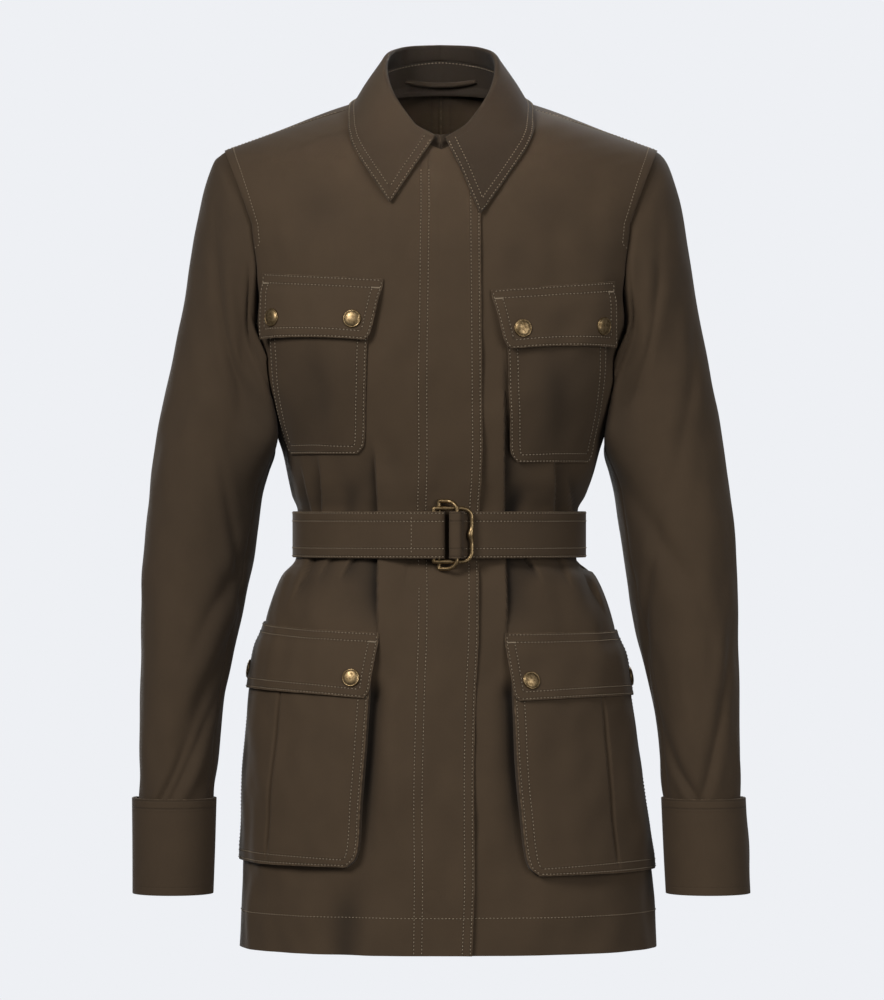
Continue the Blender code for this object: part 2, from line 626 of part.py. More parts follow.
def sleeve_point(side, degrees, station, lift=0.0):
    """A point of a sleeve's plain tube, moved out by lift from the ring's middle."""
    angle = math.radians(degrees)
    outer = Vector((read(SLEEVE, "outer_x", station), 0, read(SLEEVE, "outer_z", station)))
    inner = Vector((read(SLEEVE, "inner_x", station), 0, read(SLEEVE, "inner_z", station)))
    swing = SLEEVE_SWING[side] * ease(*SWING_STATIONS, station)
    slim = SLEEVE_SLIM[side] * (ease(*SLIM_STATIONS[:2], station) - ease(*SLIM_STATIONS[2:], station))
    middle = (outer + inner) / 2 + Vector((swing, read(SLEEVE, "middle_y", station), 0))
    half = (outer - inner) / 2 * (1 - slim)
    forward = Vector((0, -read(SLEEVE, "half_depth", station), 0))
    ray = half * math.cos(angle) + forward * math.sin(angle)
    blend = 1 - ease(0.0, SLEEVE_MORPH, station)
    if blend > 0:
        plain = (SHOULDER_POINT + UNDERARM) / 2 + (SHOULDER_POINT - UNDERARM) / 2 * math.cos(angle)
        oval = plain + Vector((0, -(ARMHOLE_FRONT + ARMHOLE_BACK) / 2 * math.sin(angle), 0))
        ray += (armhole(angle) - oval) * blend
    point = middle + ray + ray.normalized() * lift
    return Vector((point.x * side, point.y, point.z))


def sleeve_fold(side, degrees, station):
    depth = 0.0
    for row in SLEEVE_FOLDS:
        fold = named(SLEEVE_FOLD_COLUMNS, row)
        if fold["side"] != side:
            continue
        turned = degrees - fold["angle"]
        along = station - fold["station"] + turned / fold["slant"]
        depth += fold["depth"] * hump(turned / fold["half_angle"]) * hump(along / fold["half_length"])
    return depth


def sleeve_panel(name, side, first, last, columns, material):
    """A lengthwise piece of a sleeve between two of its seams."""
    grid = []
    for station in SLEEVE_STATIONS:
        line = []
        for i in range(columns + 1):
            degrees = lerp(first + SLEEVE_SEAM_DEGREES, last - SLEEVE_SEAM_DEGREES, i / columns)
            depth = sleeve_fold(side, degrees % 360, station)
            line.append(sleeve_point(side, degrees, station, -depth))
        grid.append(line)
    return shaped(name, grid, material)


def sleeve(side, material):
    word = SIDE_NAMES[side]
    sleeve_panel(
        f"top_sleeve_{word}", side, BACK_SLEEVE_SEAM - 360, FRONT_SLEEVE_SEAM, TOP_SLEEVE_COLUMNS, material
    )
    sleeve_panel(
        f"under_sleeve_{word}", side, FRONT_SLEEVE_SEAM, BACK_SLEEVE_SEAM, UNDER_SLEEVE_COLUMNS, material
    )


def cuff_point(side, turn, z, lift=0.0):
    """A point of the cuff band, `turn` degrees along it from its inner end."""
    angle = math.radians(CUFF_UNDER_END - turn)
    outer, inner = read(CUFF, "outer_x", z), read(CUFF, "inner_x", z)
    ray = Vector(
        (
            (outer - inner) / 2 * math.cos(angle),
            -read(CUFF, "half_depth", z) * math.sin(angle),
            0,
        )
    )
    top, bottom = CUFF[3][0], CUFF[1][0]
    beside_snap = hump((z - (top + bottom) / 2) / ((top - bottom) / 2))
    starts, clear = CUFF_RISE_TURNS
    rise = CUFF_LIFT * ease(CUFF_TURN - starts, CUFF_TURN - clear, turn)
    rise += CUFF_GAPE[side] * beside_snap * ease(CUFF_TURN - CUFF_GAPE_TURN, CUFF_TURN, turn)
    lean = SLEEVE_SWING[side] + CUFF_LEAN[side] * (top - z) / (top - bottom)
    middle = Vector(((outer + inner) / 2 + lean, read(CUFF, "middle_y", z), z))
    point = middle + ray + ray.normalized() * (rise + lift)
    return Vector((point.x * side, point.y, point.z))


def cuff(side, material):
    heights = [row[0] for row in CUFF[1:]]
    levels = [heights[0], lerp(heights[0], heights[1], 0.5), heights[1], lerp(heights[1], heights[2], 0.5)]
    grid = [
        [cuff_point(side, CUFF_TURN * i / CUFF_COLUMNS, z) for i in range(CUFF_COLUMNS + 1)]
        for z in (*levels, heights[2])
    ]
    return shaped(f"cuff_{SIDE_NAMES[side]}", grid, material)


def roll_point(degrees):
    """The top of the collar's fold, on the wearer's left."""
    return Vector(
        (
            read(ROLL, "half_width", degrees) + COLLAR_FRONT_GAP * (1 - ease(0, 30, degrees)),
            read(ROLL, "y", degrees),
            read(ROLL, "z", degrees),
        )
    )


def stand_line(degrees):
    """Bottom and top of the collar stand at an angle round the neck, on the wearer's left."""
    foot = neckline(math.radians(degrees + STAND_START * (1 - ease(0, 40, degrees))))
    foot.z += CLOTH
    height = lerp(STAND_HEIGHT_FRONT, STAND_HEIGHT_BACK, ease(0, 100, degrees))
    up = (roll_point(degrees) - foot).normalized()
    return foot + up * (CLOTH / 2 + SEAM), foot + up * height


def mirrored_line(function, angles):
    """Points for both sides of the collar: the right end, round the back, to the left end."""
    left = [function(degrees) for degrees in angles]
    right = [Vector((-p.x, p.y, p.z)) for p in left[:-1]]
    return right + left[::-1]


def collar_stand(material):
    grid = [
        mirrored_line(lambda degrees: stand_line(degrees)[0].lerp(stand_line(degrees)[1], step), LEAF_ANGLES)
        for step in STAND_STEPS
    ]
    return shaped("collar_stand", grid, material)


def clear_of(surface, point, gap):
    """The point itself, or one moved straight out of the surface until it stands gap from it."""
    spot, normal, _, _ = surface.find_nearest(point)
    height = (point - spot).dot(normal)
    return point if height >= gap else point + normal * (gap - height)


def leaf_point(side, degrees, step, surface):
    """A point of the collar's leaf. Step 0 is its seam on the stand and step 1 its outer edge."""
    low, seam = stand_line(degrees)
    roll = roll_point(degrees)
    own_x, own_z = LEAF_POINT[side]
    own = 1 - ease(0, 60, degrees)
    edge = Vector(
        (
            read(LEAF_EDGE, "half_width", degrees) + own_x * own,
            read(LEAF_EDGE, "y", degrees),
            read(LEAF_EDGE, "z", degrees) + own_z * own,
        )
    )
    up = (roll - low).normalized()
    out = edge - roll
    out = (out - up * out.dot(up)).normalized()
    start = seam + up * (CLOTH / 2 + SEAM)
    rise = (roll - start).length
    radius = min(ROLL_RADIUS, rise / 2 + ROLL_LEAST)
    straight = start + up * max(rise - radius, 0.0)
    if step == 0:
        point = start
    elif step <= ROLL_SHARE:
        turn = math.pi * step / ROLL_SHARE
        point = straight + out * (radius - radius * math.cos(turn)) + up * (radius * math.sin(turn))
    else:
        share = (step - ROLL_SHARE) / (1 - ROLL_SHARE)
        point = (straight + out * (2 * radius)).lerp(edge, share) + out * (LEAF_BOW * hump(2 * share - 1))
    point = Vector((point.x * side, point.y, point.z))
    return clear_of(surface, point, LEAF_CLEAR) if step > ROLL_SHARE else point


def collar_leaf(surface, material):
    grid = []
    for step in LEAF_STEPS:
        right = [leaf_point(RIGHT, degrees, step, surface) for degrees in LEAF_ANGLES[:-1]]
        left = [leaf_point(LEFT, degrees, step, surface) for degrees in LEAF_ANGLES]
        grid.append(right + left[::-1])
    return shaped("collar_leaf", grid, material)


def hanger_loop(material):
    """A narrow tape that bows between two points low on the stand's inside."""
    grid = []
    for height in (-LOOP_HEIGHT / 2, LOOP_HEIGHT / 2):
        line = []
        for i in range(LOOP_COLUMNS + 1):
            share = 2 * i / LOOP_COLUMNS - 1
            angle = math.asin(LOOP_HALF_LENGTH * abs(share) / NECK_HALF_WIDTH)
            rise = LOOP_RISE - LOOP_SAG * hump(share) + height
            low, high = stand_line(180 - math.degrees(angle))
            spot = low.lerp(high, rise / STAND_HEIGHT_BACK)
            inward = Vector((-spot.x, NECK_MIDDLE_Y - spot.y, 0)).normalized()
            spot += inward * (LOOP_STAND_OFF * (1 + 2 * hump(share)))
            line.append(Vector((math.copysign(spot.x, share), spot.y, spot.z)))
        grid.append(line)
    return shaped("hanger_loop", grid, material, wall=LOOP_CLOTH)


def patch_point(shift, side, table, top, drop, share, lift=None):
    """A point of a pocket or flap, at a drop below its top and a share from inner to outer edge."""
    down = min(drop / shift["over"], 1.0)
    row = level_row("front", top - drop + shift["up"] - lerp(*shift["slope"], down) * (1 - share))
    along = shift["girth"] + shift["lean"] * down
    inner = read(table, "inner", drop) + along
    outer = min(read(table, "outer", drop) + along, row.length - PATCH_CLEAR)
    girth = lerp(inner, outer, share)
    rise = read(table, "lift", drop) if lift is None else lift
    rise += max(lap_offset("front", side, row.at(girth).x), 0.0)
    return body_point("front", side, row, girth, rise)


def flap_dip(drop, share):
    """How far a flap hangs lower towards its corners."""
    return Vector((0, 0, -FLAP_DIP * (2 * share - 1) ** 2 * ease(*FLAP_DIP_DROPS, drop)))


def flap(kind, side, table, top, shift, columns, material):
    """A pocket flap: sewn down along its top and standing off the pocket at its lower edge."""
    grid = []
    for row in table[1:]:
        line = []
        for share in (i / columns for i in range(columns + 1)):
            line.append(patch_point(shift, side, table, top, row[0], share) + flap_dip(row[0], share))
        grid.append(line)
    return shaped(f"{kind}_flap_{SIDE_NAMES[side]}", grid, material)


def chest_pocket(side, material):
    """A flat patch pocket."""
    grid = []
    for row in CHEST_POCKET[1:]:
        line = []
        for share in CHEST_POCKET_SHARES:
            full = CHEST_POCKET_FILL * hump(2 * share - 1) * hump(row[0] / CHEST_POCKET_MIDDLE - 1)
            line.append(
                patch_point(
                    CHEST_SHIFT[side], side, CHEST_POCKET, CHEST_FLAP_Z, row[0], share, row[3] + full
                )
            )
        grid.append(line)
    return shaped(f"chest_pocket_{SIDE_NAMES[side]}", grid, material)


def hip_lift(drop, share):
    """How far the hip pocket's face stands off the panel: less towards the side, low down."""
    flat = HIP_FLATTEN["most"] * ease(*HIP_FLATTEN["shares"], share) * ease(*HIP_FLATTEN["drops"], drop)
    return read(HIP_POCKET, "lift", drop) * (1 - flat)


def hip_pocket(side, material):
    """A bellows pocket: a face with a pleat down its middle, on gussets that stand on the panel."""
    shift = HIP_SHIFT[side]
    rows = [(row[0], None) for row in HIP_POCKET[1:]]
    rows.append((HIP_POCKET[-1][0], GUSSET_FOOT))
    width = HIP_POCKET[4][2] - HIP_POCKET[4][1]
    pleat = PLEAT_HALF_WIDTH / width
    shares = (0, 0, 0.10, 0.20, 0.30, 0.40, 0.5 - pleat, 0.5, 0.5 + pleat, 0.60, 0.70, 0.80, 0.90, 1, 1)
    grid = []
    for drop, foot in rows:
        line = []
        for i, share in enumerate(shares):
            lift = hip_lift(drop, share) if foot is None else foot
            if i in (0, len(shares) - 1):
                lift = GUSSET_FOOT
            elif foot is None and share == 0.5:
                lift -= PLEAT_DEPTH * ease(*PLEAT_DROPS, drop) * ease(0.0, PLEAT_END, rows[-1][0] - drop)
            inset = GUSSET_INSET / width if 0 < i < len(shares) - 1 else 0.0
            place = lerp(inset, 1 - inset, share)
            line.append(patch_point(shift, side, HIP_POCKET, HIP_FLAP_Z, drop, place, lift))
        grid.append(line)
    for point in grid[-2]:
        point.z += GUSSET_INSET
    return shaped(f"hip_pocket_{SIDE_NAMES[side]}", grid, material)


def snap(name, point, out, material):
    """A domed cap that stands on a flap or cuff, facing straight out."""
    mesh = bpy.data.meshes.new(name)
    bm = bmesh.new()
    bmesh.ops.create_cone(
        bm,
        cap_ends=True,
        segments=SNAP_SEGMENTS,
        radius1=SNAP_RADIUS,
        radius2=SNAP_RADIUS,
        depth=SNAP_HEIGHT / 2,
    )
    top = [face for face in bm.faces if face.normal.z > 0.9]
    for inset, rise in SNAP_DOME:
        bmesh.ops.inset_region(bm, faces=top, thickness=inset, depth=SNAP_HEIGHT * rise)
    bm.to_mesh(mesh)
    bm.free()
    mesh.shade_smooth()
    mesh.set_sharp_from_angle(angle=math.radians(40))
    obj = bpy.data.objects.new(name, mesh)
    PARTS.objects.link(obj)
    obj.data.materials.append(material)
    obj.rotation_mode = "QUATERNION"
    obj.rotation_quaternion = out.to_track_quat("Z", "Y")
    obj.location = point + out * (CLOTH / 2 + SEAM * 2 + SNAP_HEIGHT / 4)
    return obj


def flap_snaps(kind, side, table, top, shift, drop, insets, material):
    """The two snaps of a flap, near its inner and its outer edge."""
    inner, outer = read(table, "inner", drop), read(table, "outer", drop)
    for place, girth in (("inner", inner + insets[0]), ("outer", outer - insets[1])):
        share = (girth - inner) / (outer - inner)
        spot = patch_point(shift, side, table, top, drop, share)
        across = patch_point(shift, side, table, top, drop, share + 0.02) - spot
        down = patch_point(shift, side, table, top, drop + 0.004, share) - spot
        out = across.cross(down).normalized() * -side
        snap(f"{kind}_snap_{place}_{SIDE_NAMES[side]}", spot + flap_dip(drop, share), out, material)


def cuff_snap(side, material):
    """The snap on the outer end of a cuff's lap."""
    z = CUFF[2][0]
    turn = CUFF_TURN - CUFF_SNAP_TURN
    spot = cuff_point(side, turn, z)
    along = cuff_point(side, turn + 3, z) - cuff_point(side, turn - 3, z)
    out = Vector((along.y, -along.x, 0)).normalized()
    if out.dot(spot - Vector((spot.x - 0.02 * side, read(CUFF, "middle_y", z), z))) < 0:
        out = -out
    snap(f"cuff_snap_{SIDE_NAMES[side]}", spot, out, material)


class Waist:
    """The closed line round the waist that the belt follows, by girth from the centre front."""

    def __init__(self):
        self.front = level_row("front", BELT_Z)
        self.back = level_row("back", BELT_Z)
        self.half = self.front.length + self.back.length

    def at(self, girth, lift):
        girth = (girth + self.half) % (2 * self.half) - self.half
        side = LEFT if girth >= 0 else RIGHT
        around = abs(girth)
        lift += lap_offset("front", RIGHT, around)
        if around <= self.front.length:
            return body_point("front", side, self.front, around, lift)
        return body_point("back", side, self.back, self.half - around, lift)


def through(points, step):
    """A smooth line through a route. Where its points lie closer than half a step, it turns tightly."""
    line = []
    for i in range(len(points) - 1):
        before = points[max(i - 1, 0)]
        a, b = points[i], points[i + 1]
        after = points[min(i + 2, len(points) - 1)]
        count = 2 if (b - a).length < step / 2 else 1
        for k in range(count):
            t = k / count
            line.append(
                0.5
                * (
                    2 * a
                    + (b - before) * t
                    + (2 * before - 5 * a + 4 * b - after) * t**2
                    + (3 * a - before - 3 * b + after) * t**3
                )
            )
    return [*line, points[-1]]


def belt(waist, material):
    """One strip: round the rings, round the waist, over the large ring and under the small one."""
    around = 2 * waist.half
    turns = list(BELT_ROUTE[1:]) + [(girth - around, lift) for girth, lift in UNDER_TURN[1:]]
    route = []
    for (girth, lift), (next_girth, next_lift) in zip(turns, turns[1:]):
        count = math.ceil(abs(next_girth - girth) / BELT_STEP)
        for i in range(count):
            route.append(waist.at(lerp(girth, next_girth, i / count), lerp(lift, next_lift, i / count)))
    route.append(waist.at(*turns[-1]))
    line = through(route, BELT_STEP)
    edges = (BELT_Z - BELT_HALF_HEIGHT, BELT_Z + BELT_HALF_HEIGHT)
    grid = [[Vector((p.x, p.y, z)) for p in line] for z in edges]
    return shaped("belt", grid, material, wall=BELT_CLOTH)


def ring(name, sizes, front_lift, swell, waist, material):
    """A wire ring of the buckle: a straight bar in the belt's fold and a free bar with round corners."""
    left, right = sizes["left"], sizes["right"]
    tall, radius = sizes["half_height"], sizes["radius"]
    outline = [(left, -tall), (lerp(left, right - radius, 0.5), -tall)]
    for i in range(6):
        angle = math.radians(-90 + 90 * i / 5)
        outline.append((right - radius + radius * math.cos(angle), -tall + radius + radius * math.sin(angle)))
    for i in range(1, 8):
        height = lerp(-tall + radius, tall - radius, i / 8)
        outline.append((right - swell * hump(height / THUMB_REST_HALF), height))
    outline += [(x, -height) for x, height in outline[7::-1]]
    outline += [(left, lerp(tall, -tall, share)) for share in (0.25, 0.5, 0.75)]
    curve = bpy.data.curves.new(name, "CURVE")
    curve.dimensions = "3D"
    curve.bevel_depth = WIRE
    curve.bevel_resolution = 2
    spline = curve.splines.new("POLY")
    spline.points.add(len(outline) - 1)
    spline.use_cyclic_u = True
    for target, (x, height) in zip(spline.points, outline):
        lift = lerp(RING_LIFT, front_lift, (x - left) / (right - left))
        spot = waist.at(x, lift)
        target.co = (spot.x, spot.y, BELT_Z + height, 1)
    obj = bpy.data.objects.new(name, curve)
    PARTS.objects.link(obj)
    curve.materials.append(material)
    return obj


def finish(name):
    """A Principled material with a piece's own colour, roughness and metallic value."""
    colour, roughness, metallic = COLOURS[name]
    material = bpy.data.materials.new(name)
    material.use_nodes = True
    shader = material.node_tree.nodes["Principled BSDF"]
    shader.inputs["Base Color"].default_value = colour
    shader.inputs["Roughness"].default_value = roughness
    shader.inputs["Metallic"].default_value = metallic
    return material


def body_surface(grids):
    """The four panels as one surface that other pieces are set clear of."""
    points, faces = [], []
    for grid, flipped in grids:
        first, length = len(points), len(grid[0])
        points += [point or Vector() for line in grid for point in line]
        for j in range(len(grid) - 1):
            for i in range(length - 1):
                if None in (grid[j][i], grid[j + 1][i]):
                    continue
                a = first + j * length + i
                face = (a, a + 1, a + length + 1, a + length)
                faces.append(face[::-1] if flipped else face)
    return BVHTree.FromPolygons(points, faces)


def main():
    cotton = finish("olive_cotton")
    brass = finish("aged_brass")
    grids = []
    for half in ("front", "back"):
        for side in (RIGHT, LEFT):
            _, grid = body_panel(half, side, cotton)
            grids.append((grid, (half == "front") == (side == RIGHT)))
    surface = body_surface(grids)
    for side in (RIGHT, LEFT):
        sleeve(side, cotton)
        cuff(side, cotton)
        cuff_snap(side, brass)
        chest = (side, CHEST_FLAP, CHEST_FLAP_Z, CHEST_SHIFT[side])
        hip = (side, HIP_FLAP, HIP_FLAP_Z, HIP_SHIFT[side])
        chest_pocket(side, cotton)
        hip_pocket(side, cotton)
        flap("chest", *chest, CHEST_FLAP_COLUMNS, cotton)
        flap("hip", *hip, HIP_FLAP_COLUMNS, cotton)
        flap_snaps("chest", *chest, CHEST_SNAP_DROP, CHEST_SNAP_INSETS, brass)
        flap_snaps("hip", *hip, HIP_SNAP_DROP, HIP_SNAP_INSETS, brass)
    collar_stand(cotton)
    collar_leaf(surface, cotton)
    hanger_loop(cotton)
    waist = Waist()
    belt(waist, cotton)
    ring("ring_small", SMALL_RING, SMALL_RING_FRONT_LIFT, THUMB_REST, waist, brass)
    ring("ring_large", LARGE_RING, LARGE_RING_FRONT_LIFT, 0.0, waist, brass)


for old in list(bpy.data.objects):
    bpy.data.objects.remove(old)
PARTS = bpy.data.collections.new("belted_jacket")
bpy.context.scene.collection.children.link(PARTS)
main()
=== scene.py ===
"""Looks of a belted field jacket: twill shells, stitching and brass on the form of its solids.

Lengths are metres. +Z is up, -Y is the front and +X is the wearer's left. Every cloth piece is a
fine grid on the same rows as its solid: a row runs from the centre line of the body round to the
side seam or the armhole, and a place on it is given by its girth from the centre line.
"""

import math

import bmesh
import bpy
import numpy as np
from mathutils import Matrix, Vector
from mathutils.bvhtree import BVHTree


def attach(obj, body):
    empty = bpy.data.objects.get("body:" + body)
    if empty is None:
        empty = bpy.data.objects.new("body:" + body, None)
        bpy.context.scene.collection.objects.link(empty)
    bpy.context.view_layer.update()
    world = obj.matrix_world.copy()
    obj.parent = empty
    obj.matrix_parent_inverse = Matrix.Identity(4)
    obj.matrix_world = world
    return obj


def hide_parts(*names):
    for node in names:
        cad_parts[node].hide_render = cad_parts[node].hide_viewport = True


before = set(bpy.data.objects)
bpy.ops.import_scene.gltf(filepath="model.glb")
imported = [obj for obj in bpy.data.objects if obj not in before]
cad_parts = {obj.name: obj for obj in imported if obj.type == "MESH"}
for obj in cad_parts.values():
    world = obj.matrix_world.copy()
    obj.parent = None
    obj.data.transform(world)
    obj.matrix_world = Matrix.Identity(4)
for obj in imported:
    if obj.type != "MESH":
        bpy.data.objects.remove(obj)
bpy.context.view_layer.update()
bpy.ops.object.select_all(action="DESELECT")

CLOTH = 0.0015
FLAP_CLOTH = 0.0017
CUFF_CLOTH = 0.0019
BELT_CLOTH = 0.0024
LAP = 0.0013
LAP_FADE = (0.036, 0.062)
RIGHT, LEFT = -1, 1
SIDE_NAMES = {RIGHT: "right", LEFT: "left"}

# Body
TORSO = (
    ("z", "half_width", "front", "back", "full", "sway"),
    (-0.677, 0.1795, 0.121, 0.127, 0.43, 0.0065),
    (-0.614, 0.1765, 0.121, 0.129, 0.43, 0.0055),
    (-0.560, 0.1690, 0.119, 0.128, 0.43, 0.0025),
    (-0.518, 0.1630, 0.117, 0.126, 0.43, 0.0010),
    (-0.457, 0.1575, 0.112, 0.120, 0.43, -0.0005),
    (-0.414, 0.1530, 0.107, 0.113, 0.43, -0.0010),
    (-0.387, 0.1470, 0.103, 0.107, 0.42, -0.0018),
    (-0.359, 0.1350, 0.097, 0.099, 0.41, -0.0026),
    (-0.346, 0.1226, 0.091, 0.091, 0.41, -0.0030),
    (-0.324, 0.1226, 0.091, 0.091, 0.41, -0.0030),
    (-0.302, 0.1226, 0.091, 0.091, 0.41, -0.0026),
    (-0.290, 0.1280, 0.094, 0.093, 0.42, -0.0020),
    (-0.277, 0.1315, 0.098, 0.095, 0.44, -0.0010),
    (-0.250, 0.1375, 0.104, 0.098, 0.46, 0.0000),
    (-0.200, 0.1555, 0.112, 0.104, 0.49, 0.0000),
    (-0.150, 0.1635, 0.114, 0.108, 0.50, 0.0000),
    (-0.100, 0.1720, 0.108, 0.108, 0.50, 0.0000),
    (-0.060, 0.1800, 0.098, 0.103, 0.49, 0.0000),
    (-0.020, 0.1800, 0.083, 0.092, 0.44, 0.0000),
    (0.006, 0.1800, 0.068, 0.084, 0.40, 0.0000),
    (0.030, 0.1800, 0.060, 0.073, 0.40, 0.0000),
    (0.060, 0.1800, 0.050, 0.056, 0.40, 0.0000),
)
SIDE_SEAM_Y = 0.020
SIDE_SEAM_INSET = 0.0025
SIDE_HEADING = math.radians(98)
FAN_FULLNESS = 0.38
SHOULDER_ROUND = 0.03
SHOULDER_POINT = np.array((0.186, 0.005, 0.006))
UNDERARM = np.array((0.153, SIDE_SEAM_Y, -0.200))
ARMHOLE_FRONT = 0.072
ARMHOLE_BACK = 0.066
FAN_HEADING = {"front": math.radians(44), "back": math.radians(-30)}
NECK_HALF_WIDTH = 0.066
NECK_MIDDLE_Y = -0.006
NECK_HALF_DEPTH = 0.062
NECK_FRONT_Z = 0.003
NECK_BACK_Z = 0.060
NECK_RISE = 1.0
NECK_SIDE = math.radians(98)
HEM_Z = TORSO[1][0]
FAN_Z = -0.060
FAN_NECK = {"front": 0.45, "back": 0.70}
UNDER_LAP = 0.028
OVER_EDGE = (  # how far the over front's edge lies past the centre line
    ("z", "girth"),
    (-0.677, 0.0197),
    (-0.560, 0.0252),
    (-0.462, 0.0296),
    (-0.390, 0.0335),
    (-0.324, 0.0350),
    (0.006, 0.0330),
)
PLACKET_LINE = (  # the placket's inner pair of stitch rows, from the centre line towards the right
    ("z", "girth"),
    (-0.677, 0.0262),
    (-0.613, 0.0243),
    (-0.450, 0.0165),
    (-0.357, 0.0126),
    (-0.2267, 0.0154),
    (-0.0835, 0.0139),
    (0.006, 0.0135),
)
BELT_Z = -0.3235
BELT_HALF_HEIGHT = 0.0198
HEM_STITCH = 0.0317
ARMHOLE_STITCH_Z = -0.078  # where the row beside the armhole hooks out
PLACKET_PAIR = (-0.0034, 0.0034)
PANEL_LINES = np.array((0.0, 0.0008, 0.0020, 0.0045))  # grid lines close to a panel's edge
PANEL_CLEAR = 0.0075
SEAM_WIDTH = 0.0016
SEAM_DIP = {"body": 0.0007, "sleeve": 0.0006}

